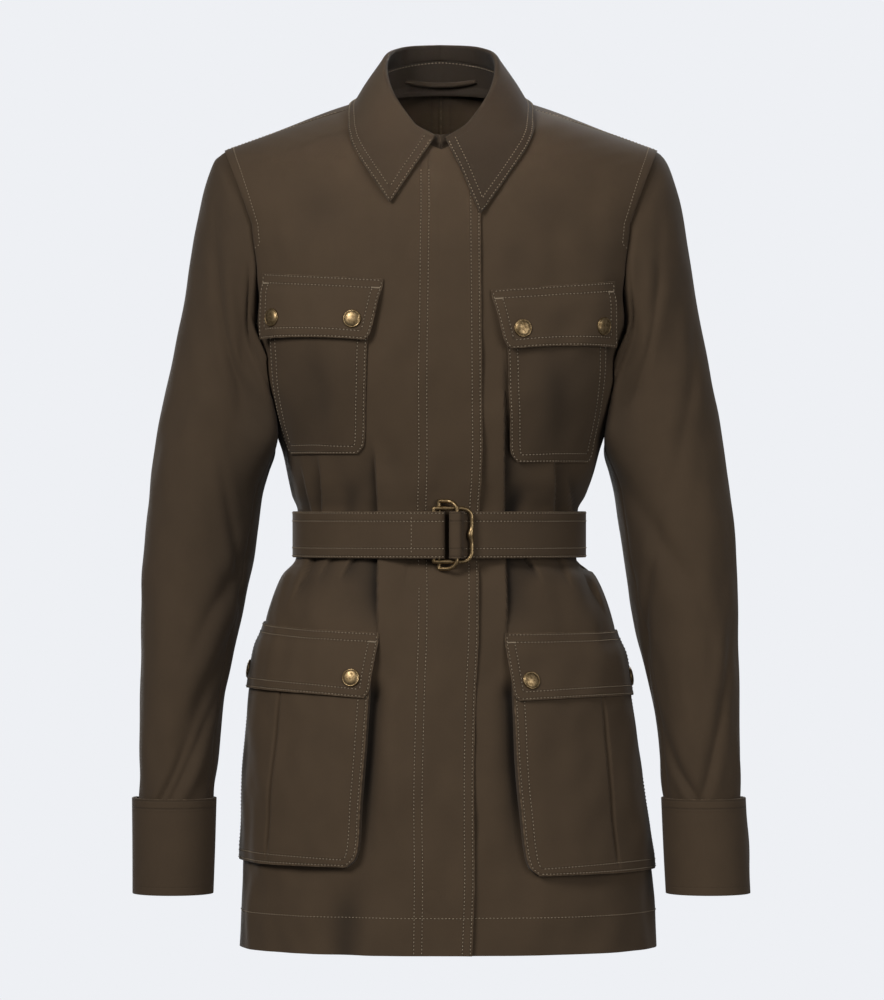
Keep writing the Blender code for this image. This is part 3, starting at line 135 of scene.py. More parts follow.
# Creases of the body panels, as strokes seen from in front or behind. fade: share of the stroke
# over which it sets in, 0 where it comes out from under the belt or a flap. bow: sideways bend.
# fold: 0 for a soft trough, or the side (1 is +X) on which the cloth drops off a sharp fold and
# comes up slowly again.
CREASE_COLUMNS = ("panel", "x", "z", "to_x", "to_z", "width", "depth", "fade", "bow", "fold")
CREASES = (
    ("front_right", -0.0528, -0.304, -0.0590, -0.236, 0.0140, 0.0052, 0.0, 0.001, -1),
    ("front_right", -0.1003, -0.304, -0.1045, -0.250, 0.0100, 0.0042, 0.0, 0.001, -1),
    ("front_right", -0.1104, -0.304, -0.1200, -0.262, 0.0080, 0.0034, 0.0, 0.000, -1),
    ("front_right", -0.0770, -0.304, -0.0750, -0.272, 0.0060, 0.0022, 0.0, 0.000, 0),
    ("front_right", -0.0531, -0.343, -0.0514, -0.424, 0.0150, 0.0062, 0.0, 0.001, -1),
    ("front_right", -0.0560, -0.440, -0.0650, -0.645, 0.0085, 0.0064, 0.1, 0.003, 0),
    ("front_right", -0.1110, -0.343, -0.1340, -0.388, 0.0090, 0.0044, 0.0, -0.002, 1),
    ("front_right", -0.0760, -0.343, -0.0880, -0.366, 0.0070, 0.0040, 0.0, 0.000, 1),
    ("front_right", -0.0950, -0.343, -0.1080, -0.368, 0.0060, 0.0030, 0.0, 0.000, 1),
    ("front_right", -0.0260, -0.343, -0.0240, -0.385, 0.0070, 0.0018, 0.0, 0.000, 0),
    ("front_right", -0.1480, -0.140, -0.1180, -0.205, 0.0090, 0.0034, 0.3, 0.005, 0),
    ("front_right", -0.1560, -0.105, -0.1330, -0.150, 0.0080, 0.0024, 0.4, 0.003, 0),
    ("front_right", -0.1050, -0.020, -0.1000, -0.085, 0.0200, 0.0020, 0.5, 0.000, 0),
    ("front_right", -0.0450, -0.240, -0.0300, -0.300, 0.0110, 0.0020, 0.4, 0.002, 0),
    ("front_right", -0.0810, -0.680, -0.0790, -0.596, 0.0130, 0.0040, 0.0, 0.001, 0),
    ("front_right", -0.1120, -0.625, -0.1180, -0.560, 0.0160, 0.0016, 0.3, 0.000, 0),
    ("front_left", 0.0531, -0.304, 0.0528, -0.150, 0.0150, 0.0058, 0.0, 0.000, 1),
    ("front_left", 0.0969, -0.304, 0.0940, -0.236, 0.0110, 0.0044, 0.0, 0.001, 1),
    ("front_left", 0.1130, -0.304, 0.1060, -0.268, 0.0080, 0.0034, 0.0, 0.000, 1),
    ("front_left", 0.0600, -0.304, 0.0690, -0.276, 0.0060, 0.0026, 0.0, 0.000, 0),
    ("front_left", 0.0545, -0.343, 0.0540, -0.424, 0.0150, 0.0062, 0.0, -0.001, 1),
    ("front_left", 0.0570, -0.440, 0.0660, -0.645, 0.0085, 0.0064, 0.1, -0.003, 0),
    ("front_left", 0.0740, -0.343, 0.0880, -0.364, 0.0070, 0.0042, 0.0, 0.000, -1),
    ("front_left", 0.1239, -0.343, 0.1450, -0.398, 0.0090, 0.0046, 0.0, 0.002, -1),
    ("front_left", 0.1020, -0.343, 0.1120, -0.370, 0.0060, 0.0030, 0.0, 0.000, -1),
    ("front_left", 0.1490, -0.135, 0.1200, -0.205, 0.0090, 0.0034, 0.3, -0.005, 0),
    ("front_left", 0.1570, -0.100, 0.1350, -0.150, 0.0080, 0.0024, 0.4, -0.003, 0),
    ("front_left", 0.0950, -0.015, 0.1000, -0.085, 0.0200, 0.0018, 0.5, 0.000, 0),
    ("front_left", 0.0700, -0.060, 0.0560, -0.140, 0.0120, 0.0016, 0.4, 0.002, 0),
    ("front_left", 0.1250, -0.630, 0.1280, -0.570, 0.0160, 0.0016, 0.3, 0.000, 0),
    ("back_right", -0.0300, -0.302, -0.0260, -0.205, 0.0075, 0.0052, 0.0, 0.002, 0),
    ("back_right", -0.0580, -0.302, -0.0640, -0.245, 0.0065, 0.0050, 0.0, 0.000, 0),
    ("back_right", -0.0890, -0.302, -0.0960, -0.225, 0.0070, 0.0046, 0.0, 0.003, 0),
    ("back_right", -0.1110, -0.302, -0.1200, -0.262, 0.0055, 0.0034, 0.0, 0.000, 0),
    ("back_right", -0.0340, -0.345, -0.0300, -0.470, 0.0085, 0.0056, 0.0, 0.003, 0),
    ("back_right", -0.0620, -0.345, -0.0720, -0.425, 0.0065, 0.0050, 0.0, 0.002, 0),
    ("back_right", -0.0900, -0.345, -0.1060, -0.400, 0.0065, 0.0046, 0.0, 0.002, 0),
    ("back_right", -0.1120, -0.345, -0.1330, -0.385, 0.0055, 0.0036, 0.0, 0.000, 0),
    ("back_right", -0.1380, -0.135, -0.0980, -0.210, 0.0100, 0.0030, 0.3, 0.006, 0),
    ("back_right", -0.1000, -0.030, -0.0900, -0.120, 0.0220, 0.0020, 0.5, 0.000, 0),
    ("back_right", -0.0700, -0.660, -0.0620, -0.520, 0.0180, 0.0026, 0.1, 0.002, 0),
    ("back_left", 0.0260, -0.302, 0.0280, -0.225, 0.0070, 0.0048, 0.0, -0.002, 0),
    ("back_left", 0.0520, -0.302, 0.0560, -0.212, 0.0075, 0.0052, 0.0, 0.000, 0),
    ("back_left", 0.0820, -0.302, 0.0860, -0.250, 0.0065, 0.0044, 0.0, 0.002, 0),
    ("back_left", 0.1080, -0.302, 0.1180, -0.240, 0.0060, 0.0040, 0.0, 0.002, 0),
    ("back_left", 0.0280, -0.345, 0.0300, -0.430, 0.0075, 0.0050, 0.0, -0.002, 0),
    ("back_left", 0.0560, -0.345, 0.0640, -0.460, 0.0080, 0.0056, 0.0, -0.003, 0),
    ("back_left", 0.0850, -0.345, 0.0960, -0.395, 0.0060, 0.0044, 0.0, 0.000, 0),
    ("back_left", 0.1080, -0.345, 0.1290, -0.402, 0.0060, 0.0040, 0.0, -0.002, 0),
    ("back_left", 0.1390, -0.130, 0.1000, -0.200, 0.0100, 0.0030, 0.3, -0.006, 0),
    ("back_left", 0.0950, -0.025, 0.0920, -0.120, 0.0220, 0.0018, 0.5, 0.000, 0),
    ("back_left", 0.0900, -0.660, 0.0830, -0.540, 0.0180, 0.0026, 0.1, -0.002, 0),
)
UNDER_BELT = (-0.6, -0.1)  # how far back under the belt a crease sets in, by UNDER_BELT_REACH
UNDER_BELT_REACH = 0.03
CREASE_FADES = (0.35, 1.0)
CREASE_WIDENS = 0.5
CREASE_RIDGE = 0.30
FOLD_DROP = (-0.0010, 0.0014)
FOLD_CREST = 0.35
UNREST = {"front": 0.4, "back": 3.0, "sleeve": 5.2}  # where each kind of piece starts in the swells
SWELL_COUNT = 9
SWELL_LENGTH = 0.115
SWELL_HEIGHT = 0.00062
CALM_GIRTH = 0.045  # the swells end at a seam, over this girth
PATCH_CREASE = 0.30  # share of the panel's creases that shows through a pocket or flap

# Sleeves
SLEEVE = (
    ("station", "outer_x", "outer_z", "inner_x", "inner_z", "middle_y", "half_depth"),
    (0, 0.1867, 0.0052, 0.1556, -0.2005, 0.0125, 0.0690),
    (1, 0.1955, -0.0060, 0.1564, -0.206, 0.0115, 0.0690),
    (2, 0.2040, -0.0320, 0.1535, -0.215, 0.0105, 0.0680),
    (3, 0.2100, -0.0650, 0.1482, -0.227, 0.0085, 0.0660),
    (4, 0.2155, -0.1000, 0.1425, -0.241, 0.0070, 0.0640),
    (5, 0.2222, -0.1400, 0.1410, -0.255, 0.0045, 0.0620),
    (6, 0.2295, -0.1800, 0.1453, -0.271, 0.0010, 0.0600),
    (7, 0.2358, -0.2150, 0.1497, -0.290, -0.0020, 0.0580),
    (8, 0.2425, -0.2550, 0.1530, -0.315, -0.0055, 0.0560),
    (9, 0.2480, -0.2950, 0.1570, -0.345, -0.0095, 0.0540),
    (10, 0.2520, -0.3350, 0.1625, -0.375, -0.0140, 0.0515),
    (11, 0.2540, -0.3750, 0.1690, -0.408, -0.0190, 0.0485),
    (12, 0.2540, -0.4250, 0.1770, -0.448, -0.0255, 0.0450),
    (13, 0.2535, -0.4750, 0.1842, -0.488, -0.0315, 0.0410),
    (14, 0.2540, -0.5200, 0.1883, -0.526, -0.0360, 0.0380),
    (15, 0.2540, -0.5520, 0.1912, -0.552, -0.0385, 0.0355),
)
SLEEVE_MORPH = 4.0
SLEEVE_SWING = {RIGHT: 0.0037, LEFT: 0.0}
SLEEVE_SLIM = {RIGHT: 0.030, LEFT: 0.0}
SWING_STATIONS = (1.0, 8.0)
SLIM_STATIONS = (2.5, 11.0, 12.0, 14.5)
# In front of the underarm the sleeve hangs over the body: how far in and forward, by angle and
# station. It hangs in less between the stations of HANG_TAPER.
HANG = {"angle": 138, "half_angle": 34, "stations": (0.0, 1.2, 4.6, 7.6), "forward": 0.0200}
HANG_IN = {RIGHT: (0.0150, 0.0118), LEFT: (0.0145, 0.0088)}
HANG_TAPER = (1.2, 4.2)
HANG_CLEAR = 0.0034
HANG_LEAST = 0.02  # a smaller share of the hang isn't tested against the body
HANG_NEAR = 0.02
# Rows of the seam allowance: how far back under the body, how much more at the hang, how deep
SLEEVE_TUCK = ((0.0045, 0.0080, 0.0028), (0.002, 0.0025, 0.0016))
SLEEVE_TUCK_HALF_ANGLE = 50
SLEEVE_LINES = np.array((0.0, 0.4, 1.0, 2.0))  # grid lines close to a sleeve seam, in degrees
SLEEVE_CLEAR = 3.6
FRONT_SLEEVE_SEAM = 152
BACK_SLEEVE_SEAM = 248
# Sleeve creases: a trough part of the way round. slant: degrees it turns per station.
SLEEVE_CREASE_COLUMNS = ("side", "angle", "station", "half_angle", "half_length", "depth", "slant")
SLEEVE_CREASES = (
    (RIGHT, 120, 12.6, 70, 0.85, 0.0046, 26),
    (RIGHT, 108, 13.9, 65, 0.50, 0.0040, 26),
    (RIGHT, 72, 14.7, 60, 0.32, 0.0030, 26),
    (RIGHT, 128, 10.2, 50, 0.70, 0.0030, 20),
    (RIGHT, 132, 8.8, 45, 0.55, 0.0026, -18),
    (RIGHT, 75, 3.2, 60, 0.70, 0.0032, -25),
    (RIGHT, 110, 1.6, 45, 0.40, 0.0024, -20),
    (RIGHT, 60, 6.0, 70, 0.90, 0.0018, 24),
    (RIGHT, 250, 9.6, 60, 0.80, 0.0044, -22),
    (RIGHT, 270, 11.2, 60, 0.60, 0.0036, 24),
    (RIGHT, 300, 13.4, 65, 0.60, 0.0036, -24),
    (RIGHT, 280, 4.0, 60, 0.80, 0.0030, 22),
    (LEFT, 60, 6.4, 60, 0.75, 0.0018, -22),
    (LEFT, 110, 9.0, 60, 0.85, 0.0030, 18),
    (LEFT, 140, 10.4, 50, 0.55, 0.0028, -18),
    (LEFT, 70, 13.6, 60, 0.65, 0.0030, -20),
    (LEFT, 115, 14.3, 55, 0.40, 0.0032, 28),
    (LEFT, 80, 3.0, 55, 0.65, 0.0018, -22),
    (LEFT, 115, 1.5, 45, 0.40, 0.0024, -20),
    (LEFT, 255, 9.2, 60, 0.80, 0.0042, 22),
    (LEFT, 275, 10.9, 60, 0.60, 0.0036, -24),
    (LEFT, 300, 13.2, 65, 0.60, 0.0034, 24),
    (LEFT, 280, 4.3, 60, 0.80, 0.0030, -22),
)
SLEEVE_RIDGE = 0.28
SLEEVE_SWELL = 0.8
SLEEVE_RADIUS = 0.055
STATION_LENGTH = 0.037

# Cuffs
CUFF = (
    ("z", "outer_x", "inner_x", "middle_y", "half_depth"),
    (-0.629, 0.2605, 0.1925, -0.0430, 0.0370),
    (-0.590, 0.2585, 0.1905, -0.0410, 0.0380),
    (-0.5475, 0.2567, 0.1887, -0.0385, 0.0395),
)
SLEEVE_FOOT = np.array((-0.5585, -0.5680))  # heights at which the sleeve meets the cuff's inside
SLEEVE_FOOT_CLEAR = 0.0003
CUFF_ROW = 0.0075
CUFF_UNDER_END = 14
CUFF_TURN = 396
CUFF_LIFT = 0.0024
CUFF_GAPE = {RIGHT: 0.0005, LEFT: 0.0035}
CUFF_LEAN = {RIGHT: -0.0045, LEFT: 0.0}
CUFF_SLIM = {RIGHT: 0.0032, LEFT: 0.0}
CUFF_RISE_TURNS = (190, 60)
CUFF_GAPE_TURN = 30
CUFF_SNAP_TURN = 26

# Collar
STAND_HEIGHT_BACK = 0.026
STAND_HEIGHT_FRONT = 0.0055
ROLL = (
    ("angle", "half_width", "y", "z"),
    (0, 0.0000, -0.0700, 0.0125),
    (10, 0.0095, -0.0655, 0.0178),
    (20, 0.0208, -0.0600, 0.0255),
    (30, 0.0292, -0.0525, 0.0355),
    (45, 0.0390, -0.0420, 0.0510),
    (60, 0.0440, -0.0290, 0.0640),
    (75, 0.0458, -0.0150, 0.0750),
    (90, 0.0455, -0.0010, 0.0840),
    (105, 0.0428, 0.0130, 0.0908),
    (120, 0.0375, 0.0265, 0.0948),
    (140, 0.0270, 0.0400, 0.0982),
    (180, 0.0000, 0.0520, 0.1005),
)
LEAF_EDGE = (
    ("angle", "half_width", "y", "z"),
    (0, 0.0370, -0.0980, -0.0470),
    (20, 0.0548, -0.0870, -0.0220),
    (45, 0.0747, -0.0600, 0.0080),
    (75, 0.0788, -0.0250, 0.0330),
    (105, 0.0758, 0.0170, 0.0440),
    (140, 0.0570, 0.0630, 0.0490),
    (180, 0.0000, 0.0830, 0.0480),
)
LEAF_POINT = {RIGHT: (0.0060, 0.004), LEFT: (-0.0040, -0.006)}
COLLAR_FRONT_GAP = {RIGHT: 0.0066, LEFT: 0.0042}
STAND_FRONT_GAP = 0.0035
STAND_CLOSING = 0.0030
STAND_INSIDE = 0.0019
STAND_FEET = (0.0050, 0.0030, 0.0010)
STAND_CENTRE = 0.0004
STAND_CLOSING_DEGREES = 14
STAND_ROW = 0.0014
STAND_START = 4
LEAF_CLEAR = 0.0032
LEAF_BOW = 0.0010
ROLL_SHARE = 0.27
ROLL_RADIUS = 0.0020
ROLL_LEAST = 0.0012
ROLL_ROWS = 13
LEAF_FALL = np.concatenate((np.linspace(0, 0.93, 26)[1:], (0.955, 0.972, 0.985, 0.994, 1.0)))
LEAF_SOFTENED = 4

# Pockets and flaps
PATCH_COLUMNS = ("drop", "inner", "outer", "lift")
CHEST_FLAP = (
    PATCH_COLUMNS,
    (0.0000, 0.0450, 0.1570, 0.0016),
    (0.0080, 0.0460, 0.1570, 0.0026),
    (0.0170, 0.0485, 0.1580, 0.0052),
    (0.0360, 0.0525, 0.1590, 0.0068),
    (0.0490, 0.0560, 0.1600, 0.0078),
    (0.0545, 0.0605, 0.1595, 0.0080),
)
CHEST_FLAP_Z = -0.104
CHEST_POCKET = (
    PATCH_COLUMNS,
    (0.0200, 0.0585, 0.1530, 0.0026),
    (0.0450, 0.0585, 0.1530, 0.0026),
    (0.0700, 0.0595, 0.1530, 0.0022),
    (0.0920, 0.0600, 0.1530, 0.0018),
    (0.1140, 0.0610, 0.1525, 0.0017),
    (0.1350, 0.0615, 0.1520, 0.0016),
    (0.1470, 0.0630, 0.1510, 0.0016),
    (0.1535, 0.0685, 0.1470, 0.0016),
)
# How each side's flap and pocket lie. slope: inner end lower, at the top and at the foot
CHEST_SHIFT = {
    RIGHT: {"girth": 0.003, "up": 0.0025, "slope": (0.0066, 0.0), "over": 0.07, "lean": 0.0},
    LEFT: {"girth": -0.003, "up": -0.0047, "slope": (0.0087, 0.0), "over": 0.07, "lean": 0.0},
}
HIP_FLAP_Z = -0.404
HIP_FLAP = (
    PATCH_COLUMNS,
    (0.0000, 0.0530, 0.2210, 0.0016),
    (0.0080, 0.0530, 0.2210, 0.0028),
    (0.0200, 0.0545, 0.2230, 0.0066),
    (0.0360, 0.0570, 0.2250, 0.0084),
    (0.0490, 0.0595, 0.2270, 0.0092),
    (0.0545, 0.0640, 0.2265, 0.0094),
)
HIP_POCKET = (
    PATCH_COLUMNS,
    (0.0220, 0.0585, 0.2220, 0.0042),
    (0.0400, 0.0600, 0.2250, 0.0058),
    (0.0600, 0.0610, 0.2280, 0.0070),
    (0.1050, 0.0635, 0.2320, 0.0085),
    (0.1500, 0.0670, 0.2360, 0.0085),
    (0.1860, 0.0700, 0.2390, 0.0080),
    (0.1970, 0.0735, 0.2380, 0.0075),
    (0.2030, 0.0805, 0.2350, 0.0070),
)
HIP_SHIFT = {
    RIGHT: {"girth": -0.002, "up": 0.0055, "slope": (0.0075, 0.0008), "over": 0.20, "lean": 0.0058},
    LEFT: {"girth": 0.002, "up": -0.0018, "slope": (0.0007, 0.0006), "over": 0.20, "lean": -0.0058},
}
CHEST_FULL = {"drop": 0.088, "half_drop": 0.074, "rise": 0.0034}
CHEST_TROUGH = {"drop": 0.102, "half_drop": 0.054, "width": 0.16, "lean": 0.02, "depth": 0.0046}
# Where the painted shade of the chest pocket's hollow lies.
CHEST_HOLLOW_SHADE = {"drop": 0.100, "half_drop": 0.058, "width": 0.24, "middle": 0.48}
CHEST_WIDTH = 0.098
PATCH_CLEAR = 0.004
FLAP_SLACK = 0.0007
FLAP_SLACK_DROPS = (0.02, 0.05)
HIP_SLACK = {"drop": 0.12, "half_drop": 0.08, "height": 0.0010}
FLAP_DIP = 0.002
FLAP_DIP_DROPS = (0.03, 0.06)
GUSSET_FOOT = 0.0016
HIP_FLATTEN = {"most": 0.45, "shares": (0.35, 0.95), "drops": (0.12, 0.19)}
GUSSET = np.array((0.0, 0.3, 0.6, 0.85))
PLEAT_LINES = np.array((-1.0, -0.66, -0.33, 0.0, 0.33, 0.66, 1.0))
PLEAT_HALF_WIDTH = 0.0030
PLEAT_DEPTH = 0.0030
PLEAT_DROPS = (0.03, 0.08)
PLEAT_END = 0.02
CHEST_SNAP_DROP = 0.0375
CHEST_SNAP_INSETS = (0.018, 0.016)
HIP_SNAP_DROP = 0.0393
HIP_SNAP_INSETS = (0.0163, 0.0195)
SNAP_RADIUS = 0.0078
SNAP_LIFT = {"flap": 0.0006, "cuff": 0.0007}
SNAP_OUTLINE = (  # share of the radius, and height
    (0.0, 0.00270),
    (0.32, 0.00262),
    (0.56, 0.00240),
    (0.72, 0.00208),
    (0.795, 0.00178),
    (0.83, 0.00160),
    (0.86, 0.00172),
    (0.91, 0.00174),
    (0.96, 0.00148),
    (0.99, 0.00100),
    (1.0, 0.0005),
    (0.985, 0.0),
)

# Belt and rings
WIRE = 0.0018
BELT_LIFT = 0.0027
RING_LIFT = 0.0078
BELT_ROUTE = (
    (-0.036, BELT_LIFT),
    (-0.020, BELT_LIFT),
    (-0.008, BELT_LIFT),
    (0.0025, BELT_LIFT + 0.0002),
    (0.0050, RING_LIFT),
    (0.0025, RING_LIFT + 0.0046),
    (-0.008, RING_LIFT + 0.0046),
    (-0.022, RING_LIFT + 0.0016),
    (-0.038, BELT_LIFT + 0.0040),
    (-0.056, BELT_LIFT + 0.0012),
    (-0.075, BELT_LIFT),
)
UNDER_TURN = (
    (0.2300, BELT_LIFT),
    (0.0450, BELT_LIFT),
    (0.0240, BELT_LIFT + 0.0004),
    (0.0135, BELT_LIFT + 0.0036),
    (0.0100, 0.0138),
    (0.0118, 0.0170),
    (0.0150, 0.0180),
    (0.0172, 0.0168),
    (0.0196, 0.0116),
    (0.0230, 0.0074),
    (0.0290, BELT_LIFT + 0.0032),
    (0.0400, BELT_LIFT + 0.0030),
    (0.2400, BELT_LIFT + 0.0030),
)
BELT_STEP = 0.0125
BELT_FINENESS = 5
BELT_ROW = 0.0014
BELT_FIRST_STITCH = 28
BELT_PAST_TURN = 20
BELT_END_STITCH = 8.35 * BELT_FINENESS + 2
# Rings: left, right, half height, radii of the left and right corners, lift at the back and front
SMALL_RING = (-0.0030, 0.0270, 0.0225, 0.0012, 0.008, 0.0094, 0.0112)
LARGE_RING = (0.0012, 0.0150, 0.0285, 0.0012, 0.0075, 0.0058, 0.0142)
THUMB_REST = 0.0022
THUMB_REST_HALF = 0.007

# Painted shade: the share of the cloth's brightness that each part shows, lower where shade falls on it
# Painted shade on the sleeves and cuffs: the wearer's right one, turned from the light, is darker as a whole,
# and each sleeve is darker on its inner side.
SLEEVE_SHADE_TONE = {RIGHT: 0.86, LEFT: 0.97}
SLEEVE_INNER_SHADE = {RIGHT: 0.46, LEFT: 0.38}
# The collar leaf is painted darker towards the wearer's left, the side turned from the light.
LEAF_SHADE_TONE = {RIGHT: 0.82, LEFT: 0.62}
# Painted shade along the creases of the body panels, by how far each draws the cloth in.
FOLD_SHADE = {"front": 0.78, "back": 0.45}
FOLD_FULL = 0.0058
FOLD_FALL = 1.5
# Painted shade on the chest pockets: darker all over, and darker still in a soft oval where the middle is
# hollow.
POCKET_SHADE_TONE = 0.90
POCKET_HOLLOW_SHADE = 0.20
# Painted shade inside the neck: on the top of the back panels, the collar stand and the inside of the leaf's
# roll.
NECK_SHADE_TONE = 0.30
NECK_SHADE_Z = (0.046, 0.056)
# Painted shade in the notch where the stand closes at the front.
CLOSING_SHADE_TONE = 0.6
# Painted shade on the hanger loop inside the neck, lighter than the stand's.
LOOP_SHADE_TONE = 0.55

# Hanger loop
LOOP_HALF_LENGTH = 0.0348
LOOP_HEIGHT = 0.0054
LOOP_CLOTH = 0.0012
LOOP_RISE = 0.0098
LOOP_SAG = 0.0058
LOOP_STAND_OFF = 0.0016

# Stitching: rows lie this far from an edge
EDGE_ROW = 0.0016
SECOND_ROW = 0.0083
STITCH_PITCH = 0.0031
STITCH_LENGTH = 0.0022
THREAD = 0.00052
TACK_INSET = 0.0055
TACK_HALF_LENGTH = 0.0034
TACK_STITCHES = 11
TACK_HALF_STITCH = 0.0011

# Grids
EDGE_LINES = np.array((0.0, 0.0006, 0.0014, 0.0026, 0.0042))
EDGE_CLEAR = 0.0066
BEVEL_SHARE = 0.28
BEVEL_ANGLE = math.radians(55)
SMOOTH_DEGREES = 50


def read(table, name, place):
    """One column of a table at places along its first column, on a smooth curve through its rows."""
    column = table[0].index(name)
    rows = np.array(sorted(row for row in table[1:]), float)
    places, values = rows[:, 0], rows[:, column]
    last = len(places) - 1
    low, high = np.maximum(np.arange(last + 1) - 1, 0), np.minimum(np.arange(last + 1) + 1, last)
    slopes = (values[high] - values[low]) / (places[high] - places[low])
    place = np.clip(np.asarray(place, float), places[0], places[-1])
    i = np.clip(np.searchsorted(places, place, side="right") - 1, 0, last - 1)
    span = places[i + 1] - places[i]
    share = (place - places[i]) / span
    square, cube = share**2, share**3
    return (
        values[i] * (2 * cube - 3 * square + 1)
        + values[i + 1] * (3 * square - 2 * cube)
        + slopes[i] * span * (cube - 2 * square + share)
        + slopes[i + 1] * span * (cube - square)
    )


def ease(low, high, value):
    share = np.clip((value - low) / (high - low), 0.0, 1.0)
    return share * share * (3 - 2 * share)


def hump(offset):
    return np.cos(np.pi / 2 * np.clip(offset, -1.0, 1.0)) ** 2


def bell(offset):
    return np.exp(-(offset**2))


def lerp(a, b, share):
    return a + (b - a) * share


def named(columns, row):
    return dict(zip(columns, row))


def point(x, y, z):
    return np.stack(np.broadcast_arrays(x, y, z), -1).astype(float)


def unit(vectors):
    return vectors / np.maximum(np.linalg.norm(vectors, axis=-1, keepdims=True), 1e-12)


class Rows:
    """Curves across half the body, each from the centre line to the side seam or the armhole."""

    STEPS = np.linspace(0, 1, 81)

    def __init__(self, start, end, leave, arrive, full, stop_y=None):
        reach = (full * np.linalg.norm(end - start, axis=1))[:, None]
        self.controls = np.stack((start, start + leave * reach, end - arrive * reach, end), 1)
        points = self.bezier(np.broadcast_to(self.STEPS, (len(start), len(self.STEPS))))
        steps = np.linalg.norm(np.diff(points, axis=1), axis=2)
        self.girths = np.concatenate((np.zeros((len(start), 1)), np.cumsum(steps, 1)), 1)
        self.whole = self.girths[:, -1]
        self.length = self.whole.copy()
        if stop_y is not None:
            for i in np.flatnonzero(np.isfinite(stop_y)):
                line = points[i, :, 1]
                way = 1 if line[-1] > line[0] else -1
                self.length[i] = np.interp(stop_y[i] * way, line * way, self.girths[i])

    def bezier(self, t):
        a, b, c, d = (self.controls[:, None, k] for k in range(4))
        t = t[..., None]
        s = 1 - t
        return a * s**3 + b * (3 * s * s * t) + c * (3 * s * t * t) + d * t**3

    def at(self, girth):
        away = np.minimum(np.abs(girth), self.whole[:, None])
        t = np.stack([np.interp(g, known, self.STEPS) for g, known in zip(away, self.girths)])
        found = self.bezier(t)
        found[..., 0] *= np.where(girth < 0, -1, 1)
        return found

    def outward(self, girth, half):
        step = 0.001
        whole = self.whole[:, None]
        after = self.at(np.minimum(girth + step, whole))
        along = after - self.at(np.minimum(girth, whole - step) - step)
        way = 1 if half == "front" else -1
        return unit(point(along[..., 1] * way, -along[..., 0] * way, 0.0))


ARMHOLE_MIDDLE = (SHOULDER_POINT + UNDERARM) / 2
ARMHOLE_HALF = (SHOULDER_POINT - UNDERARM) / 2
FAN_ANGLE = math.acos((FAN_Z - ARMHOLE_MIDDLE[2]) / ARMHOLE_HALF[2])


def armhole_loop(angle):
    angle = np.asarray(angle, float)
    depth = np.where(np.sin(angle) > 0, ARMHOLE_FRONT, ARMHOLE_BACK)
    ray = ARMHOLE_HALF * np.cos(angle)[..., None] + point(0, -depth * np.sin(angle), 0)
    return ARMHOLE_MIDDLE + ray


def level_rows(half, z):
    """Level rows of the front or back half of the body. Above the underarm they stop at the armhole."""
    front = half == "front"
    z = np.asarray(z, float)
    start = point(0, -read(TORSO, "front", z) if front else read(TORSO, "back", z), z)
    end = point(read(TORSO, "half_width", z) - SIDE_SEAM_INSET, SIDE_SEAM_Y, z)
    heading = SIDE_HEADING if front else SIDE_HEADING - math.pi
    angle = np.arccos(np.clip((z - ARMHOLE_MIDDLE[2]) / ARMHOLE_HALF[2], -1, 1))
    stop_y = np.where(z > UNDERARM[2], armhole_loop(angle if front else -angle)[:, 1], np.nan)
    arrive = np.array((math.cos(heading), math.sin(heading), 0))
    return Rows(start, end, np.array((1.0, 0, 0)), arrive, read(TORSO, "full", z), stop_y)


FAN_FOOT_X = {
    half: rows.at(rows.length[:, None])[0, 0, 0]
    for half, rows in ((half, level_rows(half, [FAN_Z])) for half in ("front", "back"))
}


def armhole(angle):
    """Points of the armhole seam on the wearer's left. Angle 0 is the shoulder, a half turn the underarm."""
    angle = np.asarray(angle, float)
    found = armhole_loop(angle)
    for half, way in (("front", 1), ("back", -1)):
        own = (np.sin(angle) >= 0) == (way == 1)
        low = own & (found[:, 2] < FAN_Z - 1e-6)
        if low.any():
            rows = level_rows(half, np.maximum(found[low, 2], UNDERARM[2] + 1e-6))
            found[low, 0] = rows.at(rows.length[:, None])[:, 0, 0]
        high = own & ~low
        turned = np.abs((angle[high] + math.pi) % (2 * math.pi) - math.pi)
        share = 1 - turned / FAN_ANGLE
        found[high, 0] = lerp(FAN_FOOT_X[half], SHOULDER_POINT[0], np.sin(share * math.pi / 2))
    return found


def neckline(angle):
    climb = np.sin(np.asarray(angle, float) / 2) ** NECK_RISE
    return point(
        NECK_HALF_WIDTH * np.sin(angle),
        NECK_MIDDLE_Y - NECK_HALF_DEPTH * np.cos(angle),
        lerp(NECK_FRONT_Z, NECK_BACK_Z, climb),
    )


def fan_rows(half, share):
    """Rows that fan out between the level rows and the shoulder seam."""
    front = half == "front"
    share = np.asarray(share, float)
    end = armhole(FAN_ANGLE * (1 - share) * (1 if front else -1))
    neck = FAN_NECK[half]
    turn = np.clip((share - neck) / (1 - neck), 0.0, 1.0)
    z = lerp(FAN_Z, NECK_FRONT_Z if front else NECK_BACK_Z, np.minimum(share / neck, 1.0))
    below = point(0, -read(TORSO, "front", z) if front else read(TORSO, "back", z), z)
    above = neckline(NECK_SIDE * turn if front else lerp(math.pi, NECK_SIDE, turn))
    start = np.where((turn > 0)[:, None], above, below)
    chord = unit(end - start)
    arch = np.array((0, 0, SHOULDER_ROUND))
    leave = unit(lerp(np.array((1.0, 0, 0)), chord + arch, turn[:, None]))
    heading = FAN_HEADING[half]
    level = np.array((math.cos(heading), math.sin(heading), 0))
    arrive = unit(lerp(level, chord - arch, share[:, None]))
    full = lerp(read(TORSO, "full", FAN_Z), FAN_FULLNESS, np.minimum(share * 3, 1.0))
    return Rows(start, end, leave, arrive, full)


